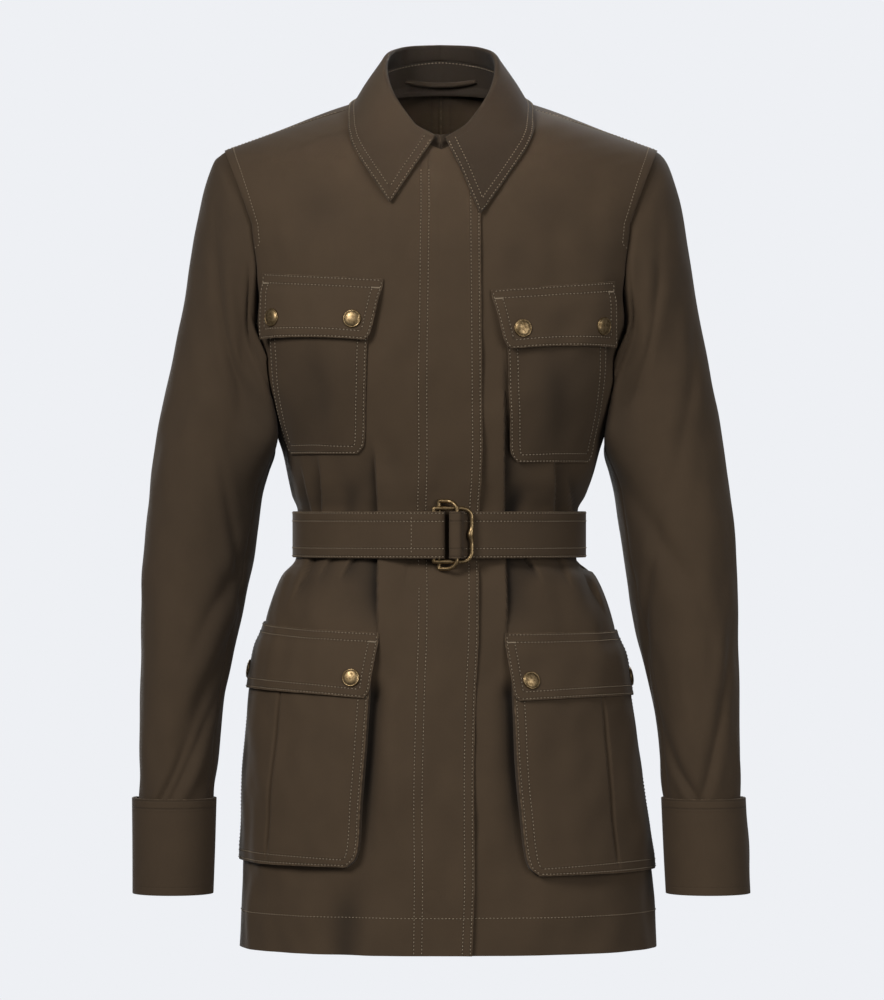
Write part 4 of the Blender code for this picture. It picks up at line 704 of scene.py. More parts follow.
def crease_depth(panel, x, z):
    """How far the creases of a panel draw the cloth in, with a soft ridge on both sides of each."""
    depth = np.zeros(np.shape(x))
    for row in CREASES:
        stroke = named(CREASE_COLUMNS, row)
        if stroke["panel"] != panel:
            continue
        run_x, run_z = stroke["to_x"] - stroke["x"], stroke["to_z"] - stroke["z"]
        length = math.hypot(run_x, run_z)
        along = ((x - stroke["x"]) * run_x + (z - stroke["z"]) * run_z) / length**2
        off = ((x - stroke["x"]) * run_z - (z - stroke["z"]) * run_x) / length
        off = off - stroke["bow"] * np.sin(np.pi * np.clip(along, 0, 1))
        if stroke["fade"]:
            sets_in = ease(0, stroke["fade"], along)
        else:  # It starts at the belt and runs on under it.
            sets_in = ease(*UNDER_BELT, along * length / UNDER_BELT_REACH)
        strength = sets_in * (1 - ease(*CREASE_FADES, along))
        width = stroke["width"] * (1 + CREASE_WIDENS * np.clip(along, 0, 1))
        if stroke["fold"]:
            away = off * stroke["fold"] * (1 if run_z > 0 else -1)
            drop = ease(*FOLD_DROP, away)
            crest = FOLD_CREST * (1 - drop) * bell(away / width)
            shape = drop * np.exp(-np.maximum(away, 0) / width) - crest
        else:
            ridge = bell((off - 2.0 * width) / width) + bell((off + 2.0 * width) / width)
            shape = bell(off / width) - CREASE_RIDGE * ridge
        depth += stroke["depth"] * strength * shape
    return depth


def unrest(u, v, start):
    """Slow, uneven swells of worn cloth, in metres, by place on it."""
    height = 0.0
    for i in range(SWELL_COUNT):
        angle = start + 2.4 * i
        turn = math.tau / (SWELL_LENGTH * 0.82**i)
        across = u * math.cos(angle) + v * math.sin(angle) * 0.6
        along = v * math.cos(angle) - u * math.sin(angle)
        wander = 1.1 * np.sin(along * turn * 0.37 + 1.7 * i + start)
        height = height + SWELL_HEIGHT * 0.86**i * np.sin(across * turn + wander + 2.1 * i)
    return height


def lap_offset(side, x):
    return (LAP if side == RIGHT else -LAP) * (1 - ease(*LAP_FADE, np.abs(x)))


def placed(points, side):
    found = points.copy()
    found[..., 0] = points[..., 0] * side + read(TORSO, "sway", points[..., 2])
    return found


def running(points, axis):
    """Length along the grid's rows or columns, from its first point."""
    steps = np.linalg.norm(np.diff(points, axis=axis), axis=2)
    start = np.zeros((1, steps.shape[1]) if axis == 0 else (steps.shape[0], 1))
    return np.concatenate((start, np.cumsum(steps, axis)), axis)


def edged(count, width):
    """Shares from 0 to 1 with extra lines near both ends, for crisp edges on a piece so wide."""
    near = EDGE_LINES / width
    middle = np.linspace(EDGE_CLEAR / width, 1 - EDGE_CLEAR / width, count)
    return np.concatenate((near, middle, 1 - near[::-1]))


class Sheet:
    """A cloth surface as a grid of points, with its outward normals and the lengths along it."""

    def __init__(self, points, flip=False, keep=None, wall=CLOTH):
        self.points = points
        self.flip = flip
        self.wall = wall
        self.keep = np.ones(points.shape[:2], bool) if keep is None else keep
        normals = unit(np.cross(np.gradient(points, axis=1), np.gradient(points, axis=0)))
        self.normals = -normals if flip else normals
        self.across = running(points, 1)
        self.along = running(points, 0)

    def distance(self, side):
        """Distance of every point from one side of the grid."""
        return {
            "first_row": self.along,
            "last_row": self.along[-1:] - self.along,
            "first_column": self.across,
            "last_column": self.across[:, -1:] - self.across,
        }[side]

    def nearest(self, sides):
        return np.min([self.distance(side) for side in sides], axis=0)

    def sample(self, values, rows, columns):
        rows, columns = np.asarray(rows, float), np.asarray(columns, float)
        i = np.clip(rows.astype(int), 0, values.shape[0] - 2)
        j = np.clip(columns.astype(int), 0, values.shape[1] - 2)
        a, b = rows - i, columns - j
        if values.ndim == 3:
            a, b = a[:, None], b[:, None]
        here = lerp(values[i, j], values[i, j + 1], b)
        return lerp(here, lerp(values[i + 1, j], values[i + 1, j + 1], b), a)

    def inset(self, side, distance):
        """Grid places along one side, at a distance in from it."""
        field = self.distance(side)
        backward = side.startswith("last")
        if side.endswith("row"):
            lines = field.T[:, ::-1] if backward else field.T
        else:
            lines = field[:, ::-1] if backward else field
        places = np.array([np.interp(distance, line, np.arange(len(line))) for line in lines])
        if backward:
            places = lines.shape[1] - 1 - places
        others = np.arange(len(lines), dtype=float)
        return (places, others) if side.endswith("row") else (others, places)

    def line(self, side, distance, clear_of=(), inside=False, part=(0.0, 1.0)):
        """Points and normals of a stitch row beside one side, kept the same distance clear of others."""
        rows, columns = self.inset(side, distance)
        count = len(rows)
        keep = np.zeros(count, bool)
        keep[int(part[0] * (count - 1)) : int(part[1] * (count - 1)) + 1] = True
        for other in clear_of:
            keep &= self.sample(self.distance(other), rows, columns) >= distance * 0.98
        return self.trace(rows[keep], columns[keep], inside=inside)

    def trace(self, rows, columns, lift=None, inside=False):
        lift = self.wall / 2 if lift is None else lift
        normals = unit(self.sample(self.normals, rows, columns)) * (-1 if inside else 1)
        return self.sample(self.points, rows, columns) + normals * lift, normals

    def double_rows(self, sides):
        """Two stitch rows beside each of these sides, clear of the sides that meet it."""
        lines = []
        for distance in (EDGE_ROW, SECOND_ROW):
            for own in sides:
                meeting = [side for side in sides if side.split("_")[1] != own.split("_")[1]]
                lines.append(self.line(own, distance, meeting))
        return lines

    def whole(self):
        """Which cells of the grid keep all their corners."""
        k = self.keep
        return k[1:, :-1] & k[:-1, 1:] & k[1:, 1:] & k[:-1, :-1]

    def area(self):
        p = self.points
        one = np.linalg.norm(np.cross(p[1:, :-1] - p[:-1, :-1], p[:-1, 1:] - p[:-1, :-1]), axis=2)
        two = np.linalg.norm(np.cross(p[1:, :-1] - p[1:, 1:], p[:-1, 1:] - p[1:, 1:]), axis=2)
        return float(((one + two) / 2)[self.whole()].sum())


def apply_modifiers(obj):
    bpy.context.view_layer.objects.active = obj
    for modifier in list(obj.modifiers):
        bpy.ops.object.modifier_apply(modifier=modifier.name)


def select_only(obj):
    bpy.ops.object.select_all(action="DESELECT")
    obj.select_set(True)
    bpy.context.view_layer.objects.active = obj


def smooth(obj, degrees=SMOOTH_DEGREES):
    select_only(obj)
    bpy.ops.object.shade_smooth_by_angle(angle=math.radians(degrees))
    obj.select_set(False)


def sewn(
    node, sheet, uv, edge=None, row=None, painted_shade=None, layers=1
):
    """The shell of one cloth node: a grid on the sheet's points, walled, with rounded edges; the size of its
    cut is worked out but not used.
    """
    points, keep = sheet.points, sheet.keep
    far = np.full(points.shape[:2], 1.0)
    edge = far if edge is None else edge
    row = far if row is None else row
    painted_shade = far if painted_shade is None else painted_shade
    if sheet.flip:
        given = (points, uv, edge, row, painted_shade, keep)
        points, uv, edge, row, painted_shade, keep = (values[:, ::-1] for values in given)
    count, length = points.shape[:2]
    bpy.ops.mesh.primitive_grid_add(x_subdivisions=length - 1, y_subdivisions=count - 1, size=1)
    obj = bpy.context.object
    obj.name = obj.data.name = f"{node}_cloth"
    obj.matrix_world = Matrix.Identity(4)
    mesh = obj.data
    mesh.vertices.foreach_set("co", points.astype(np.float32).ravel())
    corner = np.empty(len(mesh.loops), np.int32)
    mesh.loops.foreach_get("vertex_index", corner)
    at_corner = uv.reshape(-1, 2)[corner].astype(np.float32).ravel()
    mesh.uv_layers.active.data.foreach_set("uv", at_corner)
    # One attribute carries the painted shade of each piece into its colour.
    for name, values in (("edge", edge), ("stitch_row", row), ("painted_shade", painted_shade)):
        attribute = mesh.attributes.new(name, "FLOAT", "POINT")
        attribute.data.foreach_set("value", values.astype(np.float32).ravel())
    if not keep.all():
        bm = bmesh.new()
        bm.from_mesh(mesh)
        bm.verts.ensure_lookup_table()
        spare = [bm.verts[i] for i in np.flatnonzero(~keep.ravel())]
        bmesh.ops.delete(bm, geom=spare, context="VERTS")
        bm.to_mesh(mesh)
        bm.free()
    solidify = obj.modifiers.new("Wall", "SOLIDIFY")
    solidify.thickness = sheet.wall
    solidify.offset = 0
    bevel = obj.modifiers.new("Rounded edge", "BEVEL")
    bevel.width = sheet.wall * BEVEL_SHARE
    bevel.segments = 2
    bevel.limit_method = "ANGLE"
    bevel.angle_limit = BEVEL_ANGLE
    apply_modifiers(obj)
    smooth(obj)
    mesh.materials.clear()
    mesh.materials.append(TWILL)
    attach(obj, "root")
    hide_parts(node)
    cut = (float(sheet.across[:, -1].max()), float(sheet.along[-1].max()) * layers)
    area = min(sheet.area(), cut[0] * cut[1])


# Materials


def add(tree, kind, **settings):
    node = tree.nodes.new(kind)
    for name, value in settings.items():
        setattr(node, name, value)
    return node


def feed(tree, socket, value):
    if isinstance(value, bpy.types.NodeSocket):
        tree.links.new(value, socket)
    else:
        socket.default_value = value


def calc(tree, operation, a, b=0.0, c=0.0):
    node = add(tree, "ShaderNodeMath", operation=operation)
    for socket, value in zip(node.inputs, (a, b, c)):
        feed(tree, socket, value)
    return node.outputs[0]


def spread(tree, value, low, high, to_low=0.0, to_high=1.0):
    node = add(tree, "ShaderNodeMapRange", interpolation_type="SMOOTHSTEP")
    for socket, entry in zip(node.inputs, (value, low, high, to_low, to_high)):
        feed(tree, socket, entry)
    return node.outputs[0]


def cloud(tree, vector, scale, detail=3.0, roughness=0.55):
    node = add(tree, "ShaderNodeTexNoise")
    feed(tree, node.inputs["Vector"], vector)
    feed(tree, node.inputs["Scale"], scale)
    feed(tree, node.inputs["Detail"], detail)
    feed(tree, node.inputs["Roughness"], roughness)
    return node.outputs["Fac"]


def group(name, inputs, outputs):
    tree = bpy.data.node_groups.new(name, "ShaderNodeTree")
    for kind, label in inputs:
        tree.interface.new_socket(label, in_out="INPUT", socket_type=kind)
    for kind, label in outputs:
        tree.interface.new_socket(label, in_out="OUTPUT", socket_type=kind)
    return tree, add(tree, "NodeGroupInput").outputs, add(tree, "NodeGroupOutput").inputs


def twill_group():
    """Diagonal ribs of a cotton twill on a map in metres. Height is in millimetres."""
    tree, given, made = group(
        "Twill weave",
        (("NodeSocketVector", "Map"), ("NodeSocketFloat", "Pitch")),
        (("NodeSocketFloat", "Height"), ("NodeSocketFloat", "Shade")),
    )
    split = add(tree, "ShaderNodeSeparateXYZ")
    feed(tree, split.inputs[0], given["Map"])
    u, v = split.outputs[0], split.outputs[1]
    slub = cloud(tree, given["Map"], 260.0, 2.0)
    turn = calc(tree, "DIVIDE", math.tau, given["Pitch"])
    diagonal = calc(tree, "MULTIPLY", calc(tree, "ADD", u, calc(tree, "MULTIPLY", v, 0.75)), turn)
    diagonal = calc(tree, "MULTIPLY_ADD", slub, 3.0, diagonal)
    rib = calc(tree, "SINE", diagonal)
    steep = calc(tree, "SUBTRACT", v, calc(tree, "MULTIPLY", u, 0.4))
    yarn = calc(tree, "SINE", calc(tree, "MULTIPLY", steep, turn))
    weave = calc(tree, "MULTIPLY_ADD", yarn, 0.35, calc(tree, "MULTIPLY", rib, 0.65))
    feed(tree, made["Height"], calc(tree, "MULTIPLY", weave, 0.030))
    fine = cloud(tree, given["Map"], 900.0, 1.0)
    shade = calc(tree, "MULTIPLY_ADD", weave, 0.055, 0.92)
    feed(tree, made["Shade"], calc(tree, "MULTIPLY_ADD", fine, 0.16, shade))
    return tree


def washed_group():
    """Uneven dye and light wear over the whole garment, by place."""
    tree, given, made = group(
        "Washed dye",
        (("NodeSocketVector", "Place"),),
        (("NodeSocketFloat", "Tint"),),
    )
    broad = cloud(tree, given["Place"], 7.0, 2.0)
    patch = cloud(tree, given["Place"], 34.0, 4.0, 0.6)
    tint = calc(tree, "MULTIPLY_ADD", broad, 0.16, 0.88)
    patch = calc(tree, "SUBTRACT", patch, 0.5)
    feed(tree, made["Tint"], calc(tree, "MULTIPLY_ADD", patch, 0.24, tint))
    return tree


def seam_group():
    """Drawn-in stitch rows, the thicker turned edge and its worn rim. Height is in millimetres."""
    tree, given, made = group(
        "Sewn edge",
        (("NodeSocketFloat", "Edge"), ("NodeSocketFloat", "Row"), ("NodeSocketVector", "Map")),
        (("NodeSocketFloat", "Height"), ("NodeSocketFloat", "Wear"), ("NodeSocketFloat", "Shadow")),
    )

    def groove(value, place, width):
        off = calc(tree, "DIVIDE", calc(tree, "SUBTRACT", value, place), width)
        return calc(tree, "EXPONENT", calc(tree, "MULTIPLY", calc(tree, "MULTIPLY", off, off), -1.0))

    pucker = cloud(tree, given["Map"], 240.0, 1.0)
    first = groove(given["Edge"], EDGE_ROW, 0.0008)
    second = groove(given["Edge"], SECOND_ROW, 0.0009)
    single = groove(given["Row"], 0.0, 0.0009)
    drawn = calc(tree, "ADD", calc(tree, "ADD", first, second), single)
    turned = spread(tree, given["Edge"], SECOND_ROW, 0.0115, 1.0, 0.0)
    height = calc(tree, "MULTIPLY", drawn, calc(tree, "MULTIPLY_ADD", pucker, -0.5, -0.05))
    height = calc(tree, "MULTIPLY_ADD", turned, 0.22, height)
    near = spread(tree, given["Edge"], 0.0, 0.020, 1.0, 0.0)
    ripple = calc(tree, "SUBTRACT", cloud(tree, given["Map"], 120.0, 1.0), 0.5)
    ripple = calc(tree, "MULTIPLY", ripple, near)
    feed(tree, made["Height"], calc(tree, "MULTIPLY_ADD", ripple, 0.45, height))
    rim = spread(tree, given["Edge"], 0.0, 0.0012, 1.0, 0.0)
    feed(tree, made["Wear"], calc(tree, "MULTIPLY", rim, spread(tree, pucker, 0.35, 0.7)))
    feed(tree, made["Shadow"], drawn)
    return tree


def patina_group():
    """Aged brass: darker film in patches, rubbed bright between them, and fine scratches."""
    tree, given, made = group(
        "Brass patina",
        (("NodeSocketVector", "Place"),),
        (("NodeSocketFloat", "Film"), ("NodeSocketFloat", "Height")),
    )
    patch = cloud(tree, given["Place"], 420.0, 4.0, 0.6)
    fleck = cloud(tree, given["Place"], 1900.0, 2.0)
    film = spread(tree, calc(tree, "MULTIPLY_ADD", fleck, 0.35, patch), 0.5, 0.85)
    feed(tree, made["Film"], film)
    feed(tree, made["Height"], calc(tree, "MULTIPLY", fleck, 0.02))
    return tree


def blank(name):
    material = bpy.data.materials.new(name)
    material.use_nodes = True
    tree = material.node_tree
    return material, tree, tree.nodes["Principled BSDF"]


def placed_group(tree, definition, **inputs):
    node = add(tree, "ShaderNodeGroup", node_tree=definition)
    for name, value in inputs.items():
        feed(tree, node.inputs[name], value)
    return node.outputs


def mixed(tree, factor, first, second, blend="MIX"):
    node = add(tree, "ShaderNodeMix", data_type="RGBA", blend_type=blend)
    for socket, value in ((0, factor), (6, first), (7, second)):
        feed(tree, node.inputs[socket], value)
    return node.outputs[2]


def tinted(tree, colour, factor):
    return mixed(tree, 1.0, colour, factor, "MULTIPLY")


def raised(tree, shader, height, strength=1.0):
    bump = add(tree, "ShaderNodeBump")
    bump.inputs["Strength"].default_value = strength
    bump.inputs["Distance"].default_value = 0.001
    feed(tree, bump.inputs["Height"], height)
    tree.links.new(bump.outputs[0], shader.inputs["Normal"])


TWILL_PITCH = 0.0011
COTTON = (0.0668, 0.0426, 0.0229, 1.0)
COTTON_WORN = (0.1250, 0.0840, 0.0490, 1.0)
THREAD_COLOUR = (0.3000, 0.2350, 0.1600, 1.0)
BRASS_BRIGHT = (0.3600, 0.2550, 0.1350, 1.0)
BRASS_FILM = (0.1300, 0.0860, 0.0400, 1.0)


def twill_material(weave, washed, seam):
    material, tree, shader = blank("olive_twill")
    place = add(tree, "ShaderNodeTexCoord")
    edge, row, painted_shade = (
        add(tree, "ShaderNodeAttribute", attribute_name=name).outputs["Fac"]
        for name in ("edge", "stitch_row", "painted_shade")
    )
    flat = place.outputs["UV"]
    ribs = placed_group(tree, weave, Map=flat, Pitch=TWILL_PITCH)
    dye = placed_group(tree, washed, Place=place.outputs["Object"])
    sewn_edge = placed_group(tree, seam, Edge=edge, Row=row, Map=flat)
    # The cloth's colour is multiplied by the painted shade from its attribute.
    shade = calc(tree, "MULTIPLY", calc(tree, "MULTIPLY", ribs["Shade"], dye["Tint"]), painted_shade)
    shadow = calc(tree, "MULTIPLY_ADD", sewn_edge["Shadow"], -0.16, 1.0)
    shade = calc(tree, "MULTIPLY", shade, shadow)
    base = mixed(tree, sewn_edge["Wear"], COTTON, COTTON_WORN)
    tree.links.new(tinted(tree, base, shade), shader.inputs["Base Color"])
    feed(tree, shader.inputs["Roughness"], calc(tree, "MULTIPLY_ADD", ribs["Shade"], 0.12, 0.72))
    shader.inputs["Specular IOR Level"].default_value = 0.28
    shader.inputs["Sheen Weight"].default_value = 0.06
    shader.inputs["Sheen Roughness"].default_value = 0.5
    raised(tree, shader, calc(tree, "ADD", ribs["Height"], sewn_edge["Height"]))
    return material


def thread_material(washed):
    material, tree, shader = blank("cotton_thread")
    place = add(tree, "ShaderNodeTexCoord")
    dye = placed_group(tree, washed, Place=place.outputs["Object"])
    ply = cloud(tree, place.outputs["Object"], 2200.0, 1.0)
    shade = calc(tree, "MULTIPLY", dye["Tint"], calc(tree, "MULTIPLY_ADD", ply, 0.5, 0.72))
    tree.links.new(tinted(tree, THREAD_COLOUR, shade), shader.inputs["Base Color"])
    shader.inputs["Roughness"].default_value = 0.7
    raised(tree, shader, calc(tree, "MULTIPLY", ply, 0.06))
    return material


def brass_material(patina):
    material, tree, shader = blank("aged_brass")
    place = add(tree, "ShaderNodeTexCoord")
    aged = placed_group(tree, patina, Place=place.outputs["Object"])
    colour = mixed(tree, aged["Film"], BRASS_BRIGHT, BRASS_FILM)
    tree.links.new(colour, shader.inputs["Base Color"])
    shader.inputs["Metallic"].default_value = 1.0
    feed(tree, shader.inputs["Roughness"], calc(tree, "MULTIPLY_ADD", aged["Film"], 0.16, 0.36))
    raised(tree, shader, aged["Height"])
    return material


washed = washed_group()
TWILL = twill_material(twill_group(), washed, seam_group())
STITCHING = thread_material(washed)
BRASS = brass_material(patina_group())


# Stitching

bead = bmesh.new()
for axis in range(3):
    for way in (-1, 1):
        bead.verts.new([way if k == axis else 0 for k in range(3)])
bmesh.ops.convex_hull(bead, input=bead.verts)
bead.verts.index_update()
STITCH_POINTS = np.array([v.co for v in bead.verts])
STITCH_FACES = np.array([[v.index for v in f.verts] for f in bead.faces])
bead.free()


def stitches_along(line, normals, pitch=STITCH_PITCH):
    """Middles, directions and normals of the stitches of one row."""
    run = np.concatenate(([0.0], np.cumsum(np.linalg.norm(np.diff(line, axis=0), axis=1))))
    count = int(run[-1] / pitch)
    if count < 1:
        return None
    places = (np.arange(count) + 0.5) * run[-1] / count

    def along(values, at):
        return np.stack([np.interp(at, run, values[:, k]) for k in range(3)], -1)

    way = unit(along(line, places + pitch / 3) - along(line, places - pitch / 3))
    return along(line, places), way, unit(along(normals, places))


def stitching(name, lines, bartacks=()):
    """All stitches on one piece of cloth, as one mesh of small thread beads."""
    rows = (stitches_along(*line) for line in lines if len(line[0]) > 1)
    sets = [found for found in rows if found]
    sizes = [np.full(len(one[0]), STITCH_LENGTH / 2) for one in sets]
    for middle, way, normal in bartacks:
        side = np.cross(normal, way)
        for step in np.linspace(-TACK_HALF_LENGTH, TACK_HALF_LENGTH, TACK_STITCHES):
            sets.append(((middle + way * step)[None], side[None], normal[None]))
            sizes.append(np.array([TACK_HALF_STITCH]))
    middles, ways, normals = (np.concatenate([one[k] for one in sets]) for k in range(3))
    half = np.concatenate(sizes)[:, None, None]
    sides = np.cross(normals, ways)
    along, aside, above = (STITCH_POINTS[None, :, k : k + 1] for k in range(3))
    beads = middles[:, None] + normals[:, None] * THREAD * 0.2
    beads = beads + along * ways[:, None] * half
    beads = beads + (aside * sides[:, None] + above * normals[:, None]) * THREAD
    count = len(middles)
    faces = STITCH_FACES[None] + (np.arange(count) * len(STITCH_POINTS))[:, None, None]
    mesh = bpy.data.meshes.new(name)
    mesh.from_pydata(beads.reshape(-1, 3).tolist(), [], faces.reshape(-1, 3).tolist())
    obj = bpy.data.objects.new(name, mesh)
    bpy.context.scene.collection.objects.link(obj)
    mesh.materials.append(STITCHING)
    mesh.shade_smooth()
    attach(obj, "root")


# Body panels


def body_panel(half, side):
    name = f"{half}_{SIDE_NAMES[side]}"
    front = half == "front"
    near = PANEL_LINES
    z = np.concatenate((HEM_Z + near, np.linspace(HEM_Z + PANEL_CLEAR, FAN_Z, 186)))
    columns = 136 if front else 72
    neck = FAN_NECK[half]
    to_neck, to_seam = np.linspace(0, neck, 16)[1:], np.linspace(neck, 0.97, 22)[1:]
    fan = np.concatenate((to_neck, to_seam, (0.985, 0.994, 1.0)))
    level = level_rows(half, z), np.ones(len(z), bool)
    girth, found, out, keep = [], [], [], []
    for rows, below in (level, (fan_rows(half, fan), fan <= neck)):
        length = rows.length[:, None]
        main = np.linspace(0, 1, columns) * (length - PANEL_CLEAR)
        main = np.concatenate((main, length - near[::-1]), 1)
        if front:
            reach = np.full((len(length), 1), UNDER_LAP)
            if side == RIGHT:
                reach[:, 0] = read(OVER_EDGE, "girth", rows.controls[:, 0, 2])
            lap = lerp(PANEL_CLEAR - reach, 0.0, np.linspace(0, 1, 10)[:-1])
            main = np.concatenate((near - reach, lap, main), 1)
        spots = np.nan_to_num(rows.at(main))
        if found:
            # The first fan row carries on from the last level row.
            joint = fan_rows(half, [0.0])
            step = found[0][-1] - joint.at(main[:1] * joint.length / length[0])[0]
            spots += step * (1 - ease(0.0, 0.5, fan))[:, None, None]
        girth.append(main)
        found.append(spots)
        out.append(rows.outward(main, half))
        own = np.ones(main.shape, bool)
        own[~below, : main.shape[1] - columns - len(near)] = False
        keep.append(own)
    girth, found, out, keep = (np.concatenate(parts) for parts in (girth, found, out, keep))
    if front:
        found[..., 1] -= lap_offset(side, found[..., 0])
    out[..., 0] *= side
    points = placed(found, side)
    swell = unrest(girth, points[..., 2], UNREST[half] + side)
    calm = ease(0.0, CALM_GIRTH, girth[:, -1:] - girth)
    if not front:
        calm = calm * ease(0.0, CALM_GIRTH, girth)
    drawn = crease_depth(name, points[..., 0], points[..., 2]) + swell * calm
    points -= out * drawn[..., None]
    plain = Sheet(points, flip=(side == RIGHT) == front, keep=keep)
    seam = sum(bell(plain.distance(own) / SEAM_WIDTH) for own in ("last_column", "last_row"))
    points = points - out * (SEAM_DIP["body"] * seam)[..., None]
    sheet = Sheet(points, flip=plain.flip, keep=keep)
    return name, sheet, girth


PANELS = {}


def armhole_stitching(sheet):
    """A row beside the armhole from the shoulder to the chest, which then hooks out to the seam."""
    rows, columns = sheet.inset("last_column", SECOND_ROW)
    heights = sheet.sample(sheet.points, rows, columns)[:, 2]
    from_shoulder = sheet.sample(sheet.distance("last_row"), rows, columns)
    keep = (heights > ARMHOLE_STITCH_Z) & (from_shoulder > EDGE_ROW)
    line = sheet.trace(rows[keep], columns[keep])
    last = rows[keep][0]
    ends = np.linspace(columns[keep][0], sheet.points.shape[1] - 1.5, 6)
    return [line, sheet.trace(np.linspace(last, last - 1.5, 6), ends)]


def dress_panel(half, side):
    name, sheet, girth = body_panel(half, side)
    PANELS[half, side] = sheet
    z = sheet.points[..., 2]
    front = half == "front"
    edge = np.full(z.shape, 1.0)
    row = np.abs(sheet.distance("first_row") - HEM_STITCH)
    lines = [sheet.line("first_row", HEM_STITCH)]
    lines.append(sheet.line("last_row", EDGE_ROW, ("last_column",), part=(0.2, 1.0)))
    lines += armhole_stitching(sheet)
    top = np.flatnonzero(sheet.keep[:, 0])[-1] - 3
    if front and side == RIGHT:
        edge = np.where(girth < 0.002, sheet.distance("first_column"), 1.0)
        for distance in (EDGE_ROW, SECOND_ROW):
            rows, columns = sheet.inset("first_column", distance)
            lines.append(sheet.trace(rows[1:top], columns[1:top]))
        count = np.arange(z.shape[1])
        above_neck = np.where(z > NECK_FRONT_Z, 1.0, 0.0)
        for offset in PLACKET_PAIR:
            place = read(PLACKET_LINE, "girth", z[:, 0]) + offset
            columns = np.array([np.interp(p, g, count) for p, g in zip(place, girth)])
            lines.append(sheet.trace(np.arange(1.0, top), columns[1:top]))
            row = np.minimum(row, np.abs(girth - place[:, None]) + above_neck)
    if not front:
        for distance in (EDGE_ROW, SECOND_ROW):
            lines.append(sheet.line("first_column", distance, ("last_row",)))
        edge = sheet.distance("first_column")
    uv = np.stack((girth * side, z), -1)
    # Painted shade along the creases, by how far they draw the cloth in.
    drawn = np.clip(crease_depth(name, sheet.points[..., 0], z) / FOLD_FULL, 0.0, 1.0)
    painted_shade = 1 - FOLD_SHADE[half] * drawn**FOLD_FALL
    if not front:
        # Painted shade inside the neck, at the top of the back panels.
        painted_shade = painted_shade * lerp(1.0, NECK_SHADE_TONE, ease(*NECK_SHADE_Z, z))
    sewn(name, sheet, uv, edge, row, painted_shade=painted_shade)
    stitching(f"{name}_stitching", lines)


for half in ("front", "back"):
    for side in (RIGHT, LEFT):
        dress_panel(half, side)


def front_spots(side, z, girth, lift):
    """Points on a front at heights and girths, moved out by lift, with a share of its creases."""
    shape = z.shape
    rows = level_rows("front", z.ravel())
    girth = np.minimum(girth.ravel(), rows.length - PATCH_CLEAR)[:, None]
    spots, out = rows.at(girth)[:, 0], rows.outward(girth, "front")[:, 0]
    rise = lift.ravel() + np.maximum(lap_offset(side, spots[:, 0]), 0.0)
    out[:, 0] *= side
    found = placed(spots, side)
    depth = crease_depth(f"front_{SIDE_NAMES[side]}", found[:, 0], found[:, 2])
    swell = unrest(girth[:, 0], found[:, 2], UNREST["front"] + side)
    swell = swell * ease(0.0, CALM_GIRTH, rows.length - girth[:, 0])
    found += out * (rise - PATCH_CREASE * depth - swell)[:, None]
    return found.reshape(*shape, 3)


def patch(side, table, top, shift, drops, shares, lift):
    """A grid over a pocket or flap, with its map in metres. Rows run down and columns outwards."""
    drop, share = np.meshgrid(drops, shares, indexing="ij")
    down = np.minimum(drop / shift["over"], 1.0)
    z = top - drop + shift["up"] - lerp(*shift["slope"], down) * (1 - share)
    girth = lerp(read(table, "inner", drop), read(table, "outer", drop), share)
    girth = girth + shift["girth"] + shift["lean"] * down
    return front_spots(side, z, girth, lift(drop, share)), np.stack((girth * side, z), -1)


def place_on(drops, shares, drop, share):
    """Grid place of a drop and share."""
    row = np.interp(drop, drops, np.arange(len(drops)))
    column = np.interp(share, shares, np.arange(len(shares)))
    return np.array([row]), np.array([column])


def snap_cap(name, middle, out):
    """A domed cap with a rolled rim, turned from its outline."""
    (_, crown), (first, start), *_ = SNAP_OUTLINE
    radius = SNAP_RADIUS * first
    bpy.ops.mesh.primitive_circle_add(vertices=40, radius=radius, fill_type="NOTHING")
    obj = bpy.context.object
    obj.name = obj.data.name = name
    bpy.ops.object.mode_set(mode="EDIT")
    bpy.ops.mesh.select_all(action="SELECT")
    bpy.ops.transform.translate(value=(0, 0, start))
    for (before, low), (after, high) in zip(SNAP_OUTLINE[1:], SNAP_OUTLINE[2:]):
        bpy.ops.mesh.extrude_edges_move(TRANSFORM_OT_translate={"value": (0, 0, high - low)})
        bpy.ops.transform.resize(value=(after / before, after / before, 1))
    bpy.ops.mesh.edge_face_add()
    bpy.ops.object.mode_set(mode="OBJECT")
    bm = bmesh.new()
    bm.from_mesh(obj.data)
    rim = [edge for edge in bm.edges if edge.is_boundary]
    inner = bmesh.ops.extrude_edge_only(bm, edges=rim)
    tips = [item for item in inner["geom"] if isinstance(item, bmesh.types.BMVert)]
    for tip in tips:
        tip.co = Vector((0, 0, crown))
    bmesh.ops.remove_doubles(bm, verts=bm.verts, dist=1e-6)
    bmesh.ops.recalc_face_normals(bm, faces=bm.faces)
    bm.to_mesh(obj.data)
    bm.free()
    turn = Vector(out).to_track_quat("Z", "Y").to_matrix().to_4x4()
    obj.data.transform(Matrix.Translation(Vector(middle)) @ turn)
    obj.matrix_world = Matrix.Identity(4)
    smooth(obj)
    obj.data.materials.append(BRASS)
    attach(obj, "root")
    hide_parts(name.removesuffix("_cap"))


